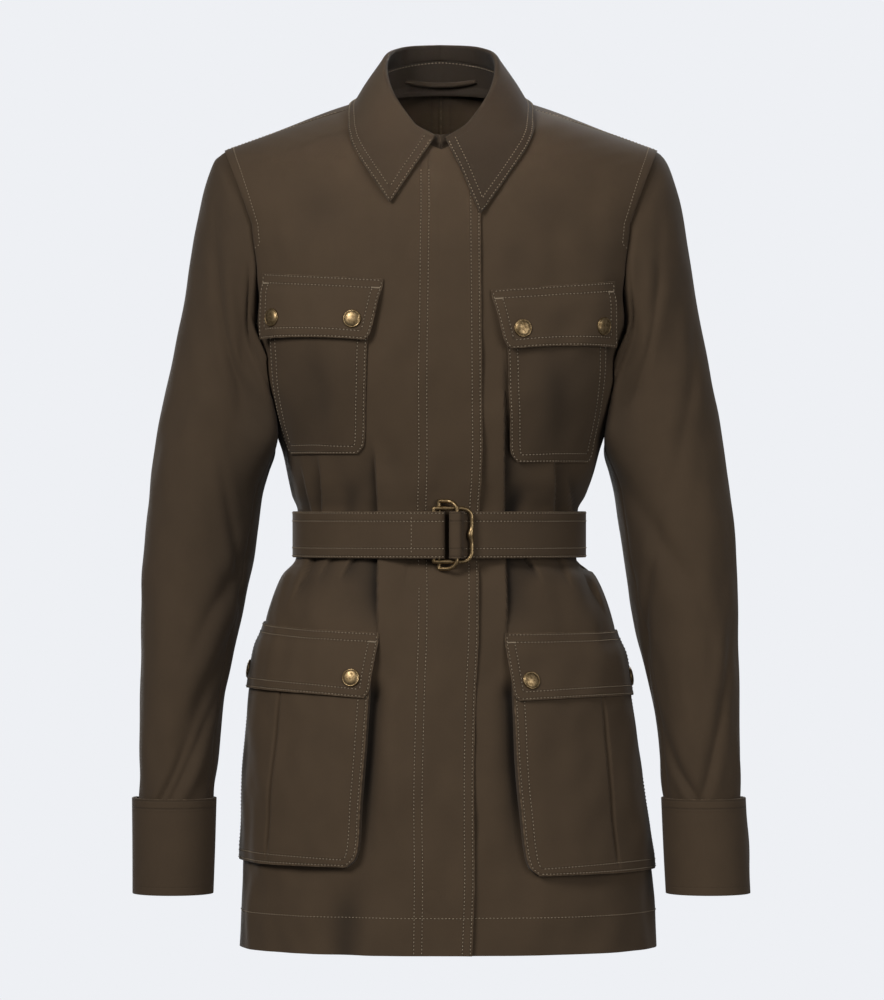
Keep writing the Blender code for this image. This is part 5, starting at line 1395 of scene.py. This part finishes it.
def flap(kind, side, table, top, shift, snap_drop, snap_insets):
    word = SIDE_NAMES[side]
    bottom = table[-1][0]
    drops = edged(18, bottom) * bottom
    shares = edged(40 if kind == "chest" else 60, table[3][2] - table[3][1])

    def lift(drop, share):
        slack = FLAP_SLACK * np.sin(5.1 * share + side) * ease(*FLAP_SLACK_DROPS, drop)
        return read(table, "lift", drop) + slack

    points, uv = patch(side, table, top, shift, drops, shares, lift)
    drop, share = np.meshgrid(drops, shares, indexing="ij")
    points[..., 2] -= FLAP_DIP * (2 * share - 1) ** 2 * ease(*FLAP_DIP_DROPS, drop)
    sheet = Sheet(points, flip=side == LEFT, wall=FLAP_CLOTH)
    sides = ("first_row", "last_row", "first_column", "last_column")
    node = f"{kind}_flap_{word}"
    sewn(node, sheet, uv, sheet.nearest(sides))
    tacks = []
    row = sheet.inset("first_row", SECOND_ROW)[0][:1]
    for own in ("first_column", "last_column"):
        column = sheet.inset(own, TACK_INSET)[1][8:9]
        spot, normal = sheet.trace(row, column)
        way, _ = sheet.trace(row, column + 0.5)
        tacks.append((spot[0], unit(way - spot)[0], normal[0]))
    stitching(f"{node}_stitching", sheet.double_rows(sides), tacks)
    inner, outer = read(table, "inner", snap_drop), read(table, "outer", snap_drop)
    for place, girth in (("inner", inner + snap_insets[0]), ("outer", outer - snap_insets[1])):
        spot = place_on(drops, shares, snap_drop, (girth - inner) / (outer - inner))
        middle, out = sheet.trace(*spot, lift=SNAP_LIFT["flap"])
        snap_cap(f"{kind}_snap_{place}_{word}_cap", middle[0], out[0])


def chest_pocket(side):
    word = SIDE_NAMES[side]
    first, last = CHEST_POCKET[1][0], CHEST_POCKET[-1][0]
    drops = first + (last - first) * edged(44, last - first)
    shares = edged(34, CHEST_WIDTH)

    def within(sizes, drop):
        return hump((drop - sizes["drop"]) / sizes["half_drop"])

    def lift(drop, share):
        inside = hump(2 * share - 1)
        full = CHEST_FULL["rise"] * (inside * within(CHEST_FULL, drop))
        across = (share - 0.50 - CHEST_TROUGH["lean"] * side) / CHEST_TROUGH["width"]
        trough = CHEST_TROUGH["depth"] * (bell(across) * within(CHEST_TROUGH, drop)) * inside
        return read(CHEST_POCKET, "lift", drop) + full - trough

    points, uv = patch(side, CHEST_POCKET, CHEST_FLAP_Z, CHEST_SHIFT[side], drops, shares, lift)
    sheet = Sheet(points, flip=side == LEFT)
    sides = ("last_row", "first_column", "last_column")
    # Painted shade: the pocket is darker all over, with a soft dark oval where its middle is hollow.
    hollow_shade = bell((shares - CHEST_HOLLOW_SHADE["middle"]) / CHEST_HOLLOW_SHADE["width"])
    hollow_shade = hollow_shade[None] * within(CHEST_HOLLOW_SHADE, drops)[:, None]
    painted_shade = POCKET_SHADE_TONE * (1 - POCKET_HOLLOW_SHADE * hollow_shade)
    edge = sheet.nearest(sides)
    node = f"chest_pocket_{word}"
    sewn(node, sheet, uv, edge, painted_shade=painted_shade)
    stitching(f"{node}_stitching", sheet.double_rows(sides))


def hip_pocket(side):
    """A bellows pocket: a face with a pleat down its middle, on gussets that stand on the panel."""
    word = SIDE_NAMES[side]
    first, last = HIP_POCKET[1][0], HIP_POCKET[-1][0]
    width = HIP_POCKET[4][2] - HIP_POCKET[4][1]
    deep = len(GUSSET)
    pleat = 0.5 + PLEAT_LINES * PLEAT_HALF_WIDTH / width
    face = np.sort(np.concatenate((edged(56, width), pleat)))
    shares = np.concatenate((np.zeros(deep), face, np.ones(deep)))
    stand_across = np.concatenate((GUSSET, np.ones(len(face)), GUSSET[::-1]))
    drops = first + (last - first) * edged(58, last - first)
    stand_down = np.concatenate((np.ones(len(drops)), GUSSET[::-1]))
    drops = np.concatenate((drops, np.full(deep, last)))

    def lift(drop, share):
        flat = HIP_FLATTEN["most"] * ease(*HIP_FLATTEN["shares"], share)
        flat = flat * ease(*HIP_FLATTEN["drops"], drop)
        full = read(HIP_POCKET, "lift", drop) * (1 - flat)
        in_pleat = PLEAT_DEPTH * hump((share - 0.5) * width / PLEAT_HALF_WIDTH)
        full = full - in_pleat * ease(*PLEAT_DROPS, drop) * ease(0.0, PLEAT_END, last - drop)
        soft = HIP_SLACK["height"] * np.sin(9.0 * share + 2 * side)
        soft = soft * hump((drop - HIP_SLACK["drop"]) / HIP_SLACK["half_drop"])
        stands = np.minimum(stand_down[:, None], stand_across[None, :])
        return lerp(GUSSET_FOOT, full + soft, stands)

    points, uv = patch(side, HIP_POCKET, HIP_FLAP_Z, HIP_SHIFT[side], drops, shares, lift)
    sheet = Sheet(points, flip=side == LEFT)
    across, along = sheet.across, sheet.along
    inner, outer = across[:, deep : deep + 1], across[:, -deep - 1 : -deep]
    over = np.minimum(across - inner, outer - across)
    edge = np.abs(np.minimum(over, along[-deep - 1 : -deep] - along))
    node = f"hip_pocket_{word}"
    sewn(node, sheet, uv, edge)
    face_sheet = Sheet(points[:-deep, deep:-deep], flip=sheet.flip)
    sides = ("last_row", "first_column", "last_column")
    stitching(f"{node}_stitching", face_sheet.double_rows(sides))


for side in (RIGHT, LEFT):
    chest_pocket(side)
    hip_pocket(side)
    chest_snaps, hip_snaps = (CHEST_SNAP_DROP, CHEST_SNAP_INSETS), (HIP_SNAP_DROP, HIP_SNAP_INSETS)
    flap("chest", side, CHEST_FLAP, CHEST_FLAP_Z, CHEST_SHIFT[side], *chest_snaps)
    flap("hip", side, HIP_FLAP, HIP_FLAP_Z, HIP_SHIFT[side], *hip_snaps)


def body_tree():
    """The body's panels as one surface, to keep other cloth outside it."""
    points, faces = [], []
    for sheet in PANELS.values():
        first = sum(len(part) for part in points)
        count, width = sheet.points.shape[:2]
        points.append(sheet.points.reshape(-1, 3))
        a = (np.arange(count - 1)[:, None] * width + np.arange(width - 1)[None]) + first
        quads = np.stack((a, a + 1, a + width + 1, a + width), -1)
        if sheet.flip:
            quads = quads[..., ::-1]
        faces.append(quads[sheet.whole()])
    return BVHTree.FromPolygons(np.concatenate(points).tolist(), np.concatenate(faces).tolist())


BODY_TREE = body_tree()


def above_body(spot):
    """The outward direction of the body nearest to a spot, and how far out from it the spot is."""
    near, normal, _, _ = BODY_TREE.find_nearest(Vector(spot))
    return np.array(normal), (Vector(spot) - near).dot(normal)


# Sleeves and cuffs


def hanging(degrees, station):
    starts, full, fades, ends = HANG["stations"]
    along = ease(starts, full, station) * (1 - ease(fades, ends, station))
    return along[:, None] * hump((degrees - HANG["angle"]) / HANG["half_angle"])[None]


def sleeve_points(side, degrees, station, depth, hung=1.0):
    """Points of a sleeve's tube, by angle round it and station along it, drawn in by depth."""
    angle = np.radians(degrees)
    outer = point(read(SLEEVE, "outer_x", station), 0, read(SLEEVE, "outer_z", station))
    inner = point(read(SLEEVE, "inner_x", station), 0, read(SLEEVE, "inner_z", station))
    swing = SLEEVE_SWING[side] * ease(*SWING_STATIONS, station)
    slim = ease(*SLIM_STATIONS[:2], station) - ease(*SLIM_STATIONS[2:], station)
    middle = (outer + inner) / 2 + point(swing, read(SLEEVE, "middle_y", station), 0)
    half = (outer - inner) / 2 * (1 - SLEEVE_SLIM[side] * slim)[:, None]
    forward = point(0, -read(SLEEVE, "half_depth", station), 0)
    ray = half[:, None] * np.cos(angle)[None, :, None]
    ray = ray + forward[:, None] * np.sin(angle)[None, :, None]
    oval = ARMHOLE_MIDDLE + ARMHOLE_HALF * np.cos(angle)[:, None]
    oval = oval + point(0, -(ARMHOLE_FRONT + ARMHOLE_BACK) / 2 * np.sin(angle), 0)
    blend = 1 - ease(0.0, SLEEVE_MORPH, station)
    ray = ray + (armhole(angle) - oval)[None] * blend[:, None, None]
    found = middle[:, None] + ray - unit(ray) * depth[..., None]
    hang = hung * hanging(degrees, station)
    inward = lerp(*HANG_IN[side], ease(*HANG_TAPER, station))
    found -= point(inward, HANG["forward"], 0)[:, None] * hang[..., None]
    found[..., 0] *= side
    for i, j in np.argwhere(hang > HANG_LEAST):
        out, height = above_body(found[i, j])
        least = HANG_CLEAR * min(hang[i, j] * 3, 1.0)
        if abs(height) < HANG_NEAR and height < least:
            found[i, j] += out * (least - height)
    return found


def sleeve_creases(side, degrees, station):
    depth = np.zeros((len(station), len(degrees)))
    for row in SLEEVE_CREASES:
        crease = named(SLEEVE_CREASE_COLUMNS, row)
        if crease["side"] != side:
            continue
        turned = (degrees - crease["angle"] + 180) % 360 - 180
        off = station[:, None] - crease["station"] + turned[None] / crease["slant"]
        off = off / crease["half_length"]
        ridge = bell((off - 1.5) / 0.7) + bell((off + 1.5) / 0.7)
        strength = crease["depth"] * hump(turned / crease["half_angle"])[None]
        depth += strength * (bell(off / 0.6) - SLEEVE_RIDGE * ridge)
    around = np.radians(degrees)[None] * SLEEVE_RADIUS
    swell = unrest(around, station[:, None] * STATION_LENGTH, UNREST["sleeve"] + side)
    inner = np.abs((degrees % 360) - 185)[None]
    calm = np.maximum(ease(25, 70, inner), ease(6.5, 9.0, station)[:, None])
    return (depth + SLEEVE_SWELL * swell * calm) * ease(0.0, 0.8, station)[:, None]


def cuff_points(side, turn, z):
    angle = np.radians(CUFF_UNDER_END - turn)[None]
    z = z[:, None]
    top, bottom = CUFF[3][0], CUFF[1][0]
    fall = (top - z) / (top - bottom)
    outer, inner = read(CUFF, "outer_x", z), read(CUFF, "inner_x", z) + CUFF_SLIM[side] * fall
    forward = -read(CUFF, "half_depth", z) * np.sin(angle)
    ray = point((outer - inner) / 2 * np.cos(angle), forward, 0)
    beside_snap = hump((z - (top + bottom) / 2) / ((top - bottom) / 2))
    starts, clear = CUFF_RISE_TURNS
    rise = CUFF_LIFT * ease(CUFF_TURN - starts, CUFF_TURN - clear, turn)
    gape = CUFF_GAPE[side] * beside_snap
    rise = rise + gape * ease(CUFF_TURN - CUFF_GAPE_TURN, CUFF_TURN, turn)
    lean = SLEEVE_SWING[side] + CUFF_LEAN[side] * fall
    middle = point((outer + inner) / 2 + lean, read(CUFF, "middle_y", z), z)
    found = middle + ray + unit(ray) * rise[..., None]
    found[..., 0] *= side
    return found


def sleeve_foot(side, degrees):
    """The sleeve's last rows, which meet the inside of the cuff."""
    turn = (CUFF_UNDER_END - degrees) % 360
    wall = cuff_points(side, turn, SLEEVE_FOOT)
    inward = unit(cuff_points(side, (turn + 180) % 360, SLEEVE_FOOT) - wall)
    return wall + inward * (CUFF_CLOTH + SLEEVE_FOOT_CLEAR)


def sleeve_panel(side, first, last, columns):
    near = SLEEVE_LINES
    degrees = np.linspace(first + SLEEVE_CLEAR, last - SLEEVE_CLEAR, columns)
    degrees = np.concatenate((first + near, degrees, last - near[::-1]))
    station = np.concatenate((np.linspace(0, 4, 62)[:-1], np.linspace(4, 15, 120)))
    points = sleeve_points(side, degrees, station, sleeve_creases(side, degrees, station))
    sheet = Sheet(points, flip=side == RIGHT)
    seam = bell(sheet.nearest(("first_column", "last_column", "first_row")) / SEAM_WIDTH)
    points = points - sheet.normals * (SEAM_DIP["sleeve"] * seam)[..., None]
    # The seam allowance lies under the body's edge, further where the sleeve hangs away from it.
    flat = np.zeros((3, len(degrees)))
    plain = Sheet(sleeve_points(side, degrees, station[:3], flat, hung=0.0), flip=side == RIGHT)
    down = unit(plain.points[1] - plain.points[0])
    further = hump((degrees - HANG["angle"]) / SLEEVE_TUCK_HALF_ANGLE)[:, None]
    tuck = [
        points[0] - down * (back + more * further) - plain.normals[0] * deep
        for back, more, deep in SLEEVE_TUCK
    ]
    points = np.concatenate((tuck, points, sleeve_foot(side, degrees)))
    sheet = Sheet(points, flip=side == RIGHT)
    uv = np.stack((sheet.across, -sheet.along), -1)
    # Painted shade: the sleeve is darker on its inner side, which turns from the light and lies against the
    # body.
    along = np.pad(station, (len(SLEEVE_TUCK), len(SLEEVE_FOOT)), mode="edge")[:, None]
    deep = ease(1.0, 5.0, along) * (1 - 0.5 * ease(11.0, 15.0, along))
    deep = hump((degrees - 165) / 85)[None] * deep
    return sheet, uv, SLEEVE_SHADE_TONE[side] * (1 - SLEEVE_INNER_SHADE[side] * deep)


for side in (RIGHT, LEFT):
    word = SIDE_NAMES[side]
    spans = {
        "top": (BACK_SLEEVE_SEAM - 360, FRONT_SLEEVE_SEAM, 72),
        "under": (FRONT_SLEEVE_SEAM, BACK_SLEEVE_SEAM, 26),
    }
    for kind, span in spans.items():
        sheet, uv, painted_shade = sleeve_panel(side, *span)
        sewn(f"{kind}_sleeve_{word}", sheet, uv, painted_shade=painted_shade)


def cuff(side):
    word = SIDE_NAMES[side]
    top, bottom = CUFF[3][0], CUFF[1][0]
    z = lerp(bottom, top, edged(20, top - bottom))
    turn = edged(110, 0.25) * CUFF_TURN
    sheet = Sheet(cuff_points(side, turn, z), flip=side == LEFT, wall=CUFF_CLOTH)
    edge = sheet.nearest(("last_row", "last_column"))
    row = np.abs(sheet.distance("first_row") - CUFF_ROW)
    uv = np.stack((sheet.across, z[:, None] + 0 * sheet.across), -1)
    node = f"cuff_{word}"
    # The cuff takes its sleeve's painted shade.
    painted_shade = np.full(z.shape + turn.shape, SLEEVE_SHADE_TONE[side])
    sewn(node, sheet, uv, edge, row, painted_shade=painted_shade)
    lines = [sheet.line("first_row", CUFF_ROW)]
    for distance in (EDGE_ROW, SECOND_ROW):
        lines.append(sheet.line("last_row", distance, ("last_column",)))
        lines.append(sheet.line("last_column", distance, ("first_row", "last_row")))
    stitching(f"{node}_stitching", lines)
    spot = place_on(z, turn, (top + bottom) / 2, CUFF_TURN - CUFF_SNAP_TURN)
    middle, out = sheet.trace(*spot, lift=SNAP_LIFT["cuff"])
    snap_cap(f"cuff_snap_{word}_cap", middle[0], out[0])


for side in (RIGHT, LEFT):
    cuff(side)


# Collar


def roll_points(degrees, gap=STAND_FRONT_GAP):
    return point(
        read(ROLL, "half_width", degrees) + gap * (1 - ease(0, 30, degrees)),
        read(ROLL, "y", degrees),
        read(ROLL, "z", degrees),
    )


def stand_lines(degrees):
    foot = neckline(np.radians(degrees + STAND_START * (1 - ease(0, 40, degrees))))
    foot[..., 2] += CLOTH
    height = lerp(STAND_HEIGHT_FRONT, STAND_HEIGHT_BACK, ease(0, 100, degrees))
    up = unit(roll_points(degrees) - foot)
    return foot + up * (CLOTH / 2), foot + up * height[:, None]


def both_sides(left, right=None):
    """Columns from the right end round the back to the left end."""
    right = left.copy() if right is None else right.copy()
    right[..., 0] *= -1
    return np.concatenate((right[:, :-1], left[:, ::-1]), 1)


def collar_stand():
    degrees = np.concatenate(((0, 0.6, 1.6, 3.2), np.linspace(5.5, 180, 70)))
    low, high = stand_lines(degrees)
    closing = 1 - ease(0, STAND_CLOSING_DEGREES, degrees)
    for line in (low, high):
        line[:, 0] = lerp(line[:, 0], STAND_CENTRE, closing)
    high[:, 2] += STAND_CLOSING * closing
    up = unit(high - low)
    inward = unit(point(-low[:, 0], NECK_MIDDLE_Y - low[:, 1], 0))
    foot = [low - up * down + inward * STAND_INSIDE for down in STAND_FEET]
    upper = lerp(low[None], high[None], np.linspace(0.1, 1, 12)[:, None, None])
    sheet = Sheet(both_sides(np.concatenate((foot, upper))))
    uv = np.stack((sheet.across, sheet.along), -1)
    # Painted shade on the stand inside the neck, and in the notch where it closes at the front.
    painted_shade = lerp(NECK_SHADE_TONE, CLOSING_SHADE_TONE, closing)
    painted_shade = np.concatenate((painted_shade[:-1], painted_shade[::-1]))[None] + 0 * sheet.along
    sewn("collar_stand", sheet, uv, painted_shade=painted_shade)
    stitching("collar_stand_stitching", [sheet.line("last_row", STAND_ROW, part=(0.2, 0.8))])


def softened(points, rounds, fixed_rows):
    """Points evened out over their neighbours, with the first rows kept."""
    found = points.copy()
    for _ in range(rounds):
        wide = np.pad(found, ((1, 1), (1, 1), (0, 0)), mode="edge")
        mean = (wide[:-2, 1:-1] + wide[2:, 1:-1] + wide[1:-1, :-2] + wide[1:-1, 2:]) / 4
        mean[:, 0], mean[:, -1], mean[-1] = found[:, 0], found[:, -1], found[-1]
        found[fixed_rows:] = mean[fixed_rows:]
    return found


def leaf_side(side, degrees, steps):
    """One side of the collar leaf: up from the stand, over the roll and down to its edge."""
    low, seam = stand_lines(degrees)
    roll = roll_points(degrees, COLLAR_FRONT_GAP[side])
    own_x, own_z = LEAF_POINT[side]
    own = 1 - ease(0, 60, degrees)
    edge = point(
        read(LEAF_EDGE, "half_width", degrees) + own_x * own,
        read(LEAF_EDGE, "y", degrees),
        read(LEAF_EDGE, "z", degrees) + own_z * own,
    )
    up = unit(roll - low)
    out = edge - roll
    out = unit(out - up * np.sum(out * up, axis=1, keepdims=True))
    start = seam + up * (CLOTH / 2)
    rise = np.linalg.norm(roll - start, axis=1, keepdims=True)
    radius = np.minimum(ROLL_RADIUS, rise / 2 + ROLL_LEAST)
    radius = radius * lerp(0.5, 1.0, ease(0, 40, degrees))[:, None]
    straight = start + up * np.maximum(rise - radius, 0.0)
    lines = []
    for step in steps:
        if step <= ROLL_SHARE:
            turn = math.pi * max(step / ROLL_SHARE - 0.25, 0.0) / 0.75
            line = straight + out * (radius - radius * math.cos(turn))
            line = line + up * (radius * math.sin(turn))
            line = lerp(start, line, min(step / ROLL_SHARE / 0.25, 1.0))
        else:
            share = (step - ROLL_SHARE) / (1 - ROLL_SHARE)
            line = lerp(straight + out * (2 * radius), edge, share)
            line = line + out * (LEAF_BOW * hump(2 * share - 1))
        lines.append(line)
    grid = np.array(lines)
    grid[..., 0] *= side
    for i, step in enumerate(steps):
        if step <= ROLL_SHARE:
            continue
        for j in range(grid.shape[1]):
            normal, height = above_body(grid[i, j])
            if height < LEAF_CLEAR:
                grid[i, j] += normal * (LEAF_CLEAR - height)
    grid[..., 0] *= side
    return grid


def collar_leaf():
    degrees = np.concatenate(((0, 0.35, 0.9, 1.7, 2.8), np.linspace(4.5, 180, 74)))
    fall = ROLL_SHARE + (1 - ROLL_SHARE) * LEAF_FALL
    steps = np.concatenate((np.linspace(0, ROLL_SHARE, ROLL_ROWS), fall))
    left, right = (leaf_side(side, degrees, steps) for side in (LEFT, RIGHT))
    points = softened(both_sides(left, right), LEAF_SOFTENED, ROLL_ROWS)
    # The points of the collar are blunt.
    for end, beside, inside in ((0, 1, 5), (-1, -2, -6)):
        inner = points[-6, inside]
        for row, column, share in ((-1, end, 0.22), (-2, end, 0.10), (-1, beside, 0.08)):
            points[row, column] = lerp(points[row, column], inner, share)
    sheet = Sheet(points, wall=FLAP_CLOTH)
    sides = ("last_row", "first_column", "last_column")
    fallen = np.arange(len(steps))[:, None] > ROLL_ROWS
    edge = np.where(fallen, sheet.nearest(sides), 1.0)
    uv = np.stack((sheet.across, sheet.along), -1)
    around = np.linspace(0, 1, points.shape[1])[None]
    # Painted shade: the leaf is darker from the wearer's right towards the left, and in shade inside its
    # roll.
    outer = lerp(LEAF_SHADE_TONE[RIGHT], LEAF_SHADE_TONE[LEFT], around)
    painted_shade = lerp(NECK_SHADE_TONE, outer, ease(0.35, 0.62, steps / ROLL_SHARE)[:, None])
    sewn("collar_leaf", sheet, uv, edge, painted_shade=painted_shade)
    stitching("collar_leaf_stitching", Sheet(points[ROLL_ROWS:], wall=FLAP_CLOTH).double_rows(sides))


def hanger_loop():
    share = np.linspace(-1, 1, 41)
    aside = np.arcsin(LOOP_HALF_LENGTH * np.abs(share) / NECK_HALF_WIDTH)
    low, high = stand_lines(180 - np.degrees(aside))
    around = np.linspace(-1, 1, 9)[:, None] * math.radians(80)
    roll = LOOP_HEIGHT / math.radians(160) * (1 - 0.45 * share**6)
    rise = LOOP_RISE - LOOP_SAG * (1 - share**2) + roll * np.sin(around)
    points = lerp(low, high, (rise / STAND_HEIGHT_BACK)[..., None])
    inward = unit(point(-points[..., 0], NECK_MIDDLE_Y - points[..., 1], 0))
    stand_off = LOOP_STAND_OFF * (1 + 2 * hump(share)) + roll * np.cos(around)
    points = points + inward * stand_off[..., None]
    points[..., 0] *= np.where(share < 0, -1, 1)
    sheet = Sheet(points, wall=LOOP_CLOTH)
    uv = np.stack((sheet.across, sheet.along), -1)
    # Painted shade: the loop lies in the shade inside the neck.
    painted_shade = np.full(uv.shape[:2], LOOP_SHADE_TONE)
    sewn("hanger_loop", sheet, uv, painted_shade=painted_shade, layers=2)


collar_stand()
collar_leaf()
hanger_loop()


# Belt and rings


class Waist:
    """The line round the waist that the belt follows, by girth from the centre front."""

    def __init__(self):
        self.halves = {half: level_rows(half, [BELT_Z]) for half in ("front", "back")}
        self.front = self.halves["front"].length[0]
        self.half = self.front + self.halves["back"].length[0]

    def at(self, girth, lift):
        girth = (girth + self.half) % (2 * self.half) - self.half
        side = LEFT if girth >= 0 else RIGHT
        around = abs(girth)
        lift = lift + lap_offset(RIGHT, around)
        half = "front" if around <= self.front else "back"
        place = np.array([[around if half == "front" else self.half - around]])
        rows = self.halves[half]
        spot = rows.at(place)[0, 0] + rows.outward(place, half)[0, 0] * lift
        return placed(spot, side)


def through(points, fineness):
    """A smooth line through points, with so many steps in each stretch."""
    before, after = np.vstack((points[:1], points[:-1])), np.vstack((points[1:], points[-1:]))
    beyond = np.vstack((points[2:], points[-1:], points[-1:]))
    line = []
    for t in np.arange(fineness) / fineness:
        line.append(
            0.5
            * (
                2 * points
                + (after - before) * t
                + (2 * before - 5 * points + 4 * after - beyond) * t**2
                + (3 * points - before - 3 * after + beyond) * t**3
            )
        )
    fine = np.stack(line, 1)[:-1].reshape(-1, 3)
    return np.vstack((fine, points[-1:]))


def belt(waist):
    around = 2 * waist.half
    turns = list(BELT_ROUTE) + [(girth - around, lift) for girth, lift in UNDER_TURN]
    route, girths = [], []
    for (girth, lift), (next_girth, next_lift) in zip(turns, turns[1:]):
        count = math.ceil(abs(next_girth - girth) / BELT_STEP)
        for i in range(count):
            girths.append(lerp(girth, next_girth, i / count))
            route.append(waist.at(girths[-1], lerp(lift, next_lift, i / count)))
    route.append(waist.at(*turns[-1]))
    line = through(np.array(route), BELT_FINENESS)
    heights = lerp(-BELT_HALF_HEIGHT, BELT_HALF_HEIGHT, edged(10, 2 * BELT_HALF_HEIGHT))
    points = np.repeat(line[None], len(heights), 0)
    points[..., 2] = BELT_Z + heights[:, None]
    sheet = Sheet(points, flip=True, wall=BELT_CLOTH)
    uv = np.stack((sheet.across, sheet.along), -1)
    edge = sheet.nearest(("first_row", "last_row"))
    sewn("belt", sheet, uv, edge)
    lines = []
    # Past the turn round the free bar the strap shows its other face.
    turn = BELT_FINENESS * int(np.argmin(girths))
    outside = (BELT_FIRST_STITCH, turn, False)
    turned = (turn + BELT_PAST_TURN, points.shape[1] - 4, True)
    for own in ("first_row", "last_row"):
        for distance in (BELT_ROW, SECOND_ROW):
            rows, _ = sheet.inset(own, distance)
            for begin, stop, inside in (outside, turned):
                stretch = np.arange(begin, stop)
                lines.append(sheet.trace(rows[begin:stop], stretch, inside=inside))
    across = np.linspace(4, len(heights) - 5, 20)
    lines.append(sheet.trace(across, np.full(len(across), BELT_END_STITCH)))
    stitching("belt_stitching", lines)


def ring(name, sizes, swell, waist):
    """A wire ring: a straight bar in the belt's fold and a free bar with round corners."""
    left, right, tall, bend, radius, back, front = sizes
    corners = (left + bend, bend, np.linspace(180, 270, 9)), (right - radius, radius, np.linspace(-90, 0, 13))
    lower = [
        (x + size * math.cos(angle), -tall + size + size * math.sin(angle))
        for x, size, degrees in corners
        for angle in np.radians(degrees)
    ]
    free = np.linspace(-tall + radius, tall - radius, 31)[1:-1]
    outline = lower + [(right, height) for height in free]
    outline += [(x, -height) for x, height in lower[::-1]]
    outline += [(left, lerp(tall, -tall, share)) for share in (0.25, 0.5, 0.75)]
    curve = bpy.data.curves.new(name, "CURVE")
    curve.dimensions = "3D"
    curve.bevel_depth = WIRE
    curve.bevel_resolution = 5
    spline = curve.splines.new("POLY")
    spline.points.add(len(outline) - 1)
    spline.use_cyclic_u = True
    for target, (x, height) in zip(spline.points, outline):
        bump = swell * float(hump(height / THUMB_REST_HALF)) if x > right - 1e-6 else 0.0
        x = x - bump / 2
        spot = waist.at(x, lerp(back, front, (x - left) / (right - left)))
        target.co = (spot[0], spot[1], BELT_Z + height, 1)
        target.radius = 1 + bump / 2 / WIRE
    obj = bpy.data.objects.new(name, curve)
    bpy.context.scene.collection.objects.link(obj)
    select_only(obj)
    bpy.ops.object.convert(target="MESH")
    obj = bpy.context.object
    smooth(obj, 60)
    obj.data.materials.clear()
    obj.data.materials.append(BRASS)
    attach(obj, "root")
    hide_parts(name.removesuffix("_wire"))


waist = Waist()
belt(waist)
ring("ring_small_wire", SMALL_RING, THUMB_REST, waist)
ring("ring_large_wire", LARGE_RING, 0.0, waist)


# Studio

PALE = (0.8550, 0.8710, 0.9050, 1.0)
AMBIENT = 0.15
FLOOR_Z = -1.05


def pale(tree, shader):
    """Pale to the camera, and dimmer as a light on the jacket."""
    feed(tree, shader.inputs["Color"], PALE)
    seen = add(tree, "ShaderNodeLightPath").outputs["Is Camera Ray"]
    feed(tree, shader.inputs["Strength"], spread(tree, seen, 0.0, 1.0, AMBIENT, 1.0))


def pale_world():
    world = bpy.data.worlds.new("studio")
    bpy.context.scene.world = world
    world.use_nodes = True
    pale(world.node_tree, world.node_tree.nodes["Background"])


def pale_floor():
    place = (0, 0, FLOOR_Z)
    bpy.ops.mesh.primitive_circle_add(vertices=64, radius=40, fill_type="NGON", location=place)
    floor = bpy.context.object
    floor.name = "studio_floor"
    material = bpy.data.materials.new("studio_floor")
    material.use_nodes = True
    tree = material.node_tree
    tree.nodes.remove(tree.nodes["Principled BSDF"])
    glow = add(tree, "ShaderNodeEmission")
    pale(tree, glow)
    tree.links.new(glow.outputs[0], tree.nodes["Material Output"].inputs["Surface"])
    floor.data.materials.append(material)


def lamp(name, place, target, size, power, colour=(1.0, 1.0, 1.0)):
    aim = (Vector(target) - Vector(place)).to_track_quat("-Z", "Y").to_euler()
    bpy.ops.object.light_add(type="AREA", location=place, rotation=aim)
    light = bpy.context.object
    light.name = name
    light.data.shape = "RECTANGLE"
    light.data.size, light.data.size_y = size
    light.data.energy = power
    light.data.color = colour
    return light


CHEST = (0.0, 0.0, -0.28)
CAMERA = (0, -5.0, -0.294)
LENS = 209.3
pale_world()
pale_floor()
lamp("key", (-2.0, -2.7, 1.6), CHEST, (1.4, 1.4), 99, (1.0, 0.985, 0.96))
lamp("fill", (2.0, -3.0, 0.2), CHEST, (1.6, 2.2), 47)
lamp("back", (1.2, 2.8, 1.8), CHEST, (1.8, 1.4), 40)
lamp("behind", (-0.9, 3.4, -0.2), CHEST, (2.0, 2.0), 60)
neck = lamp("neck", (0.0, -1.2, 0.9), (0.0, 0.06, 0.03), (0.12, 0.08), 0.075)
neck.data.spread = math.radians(14)

bpy.ops.object.camera_add(location=CAMERA, rotation=(math.pi / 2, 0, 0))
camera = bpy.context.object
camera.data.lens = LENS
camera.data.sensor_width = 36
camera.data.shift_x = 0.001
camera.data.clip_end = 200
bpy.context.scene.camera = camera
bpy.context.scene.view_settings.view_transform = "Standard"
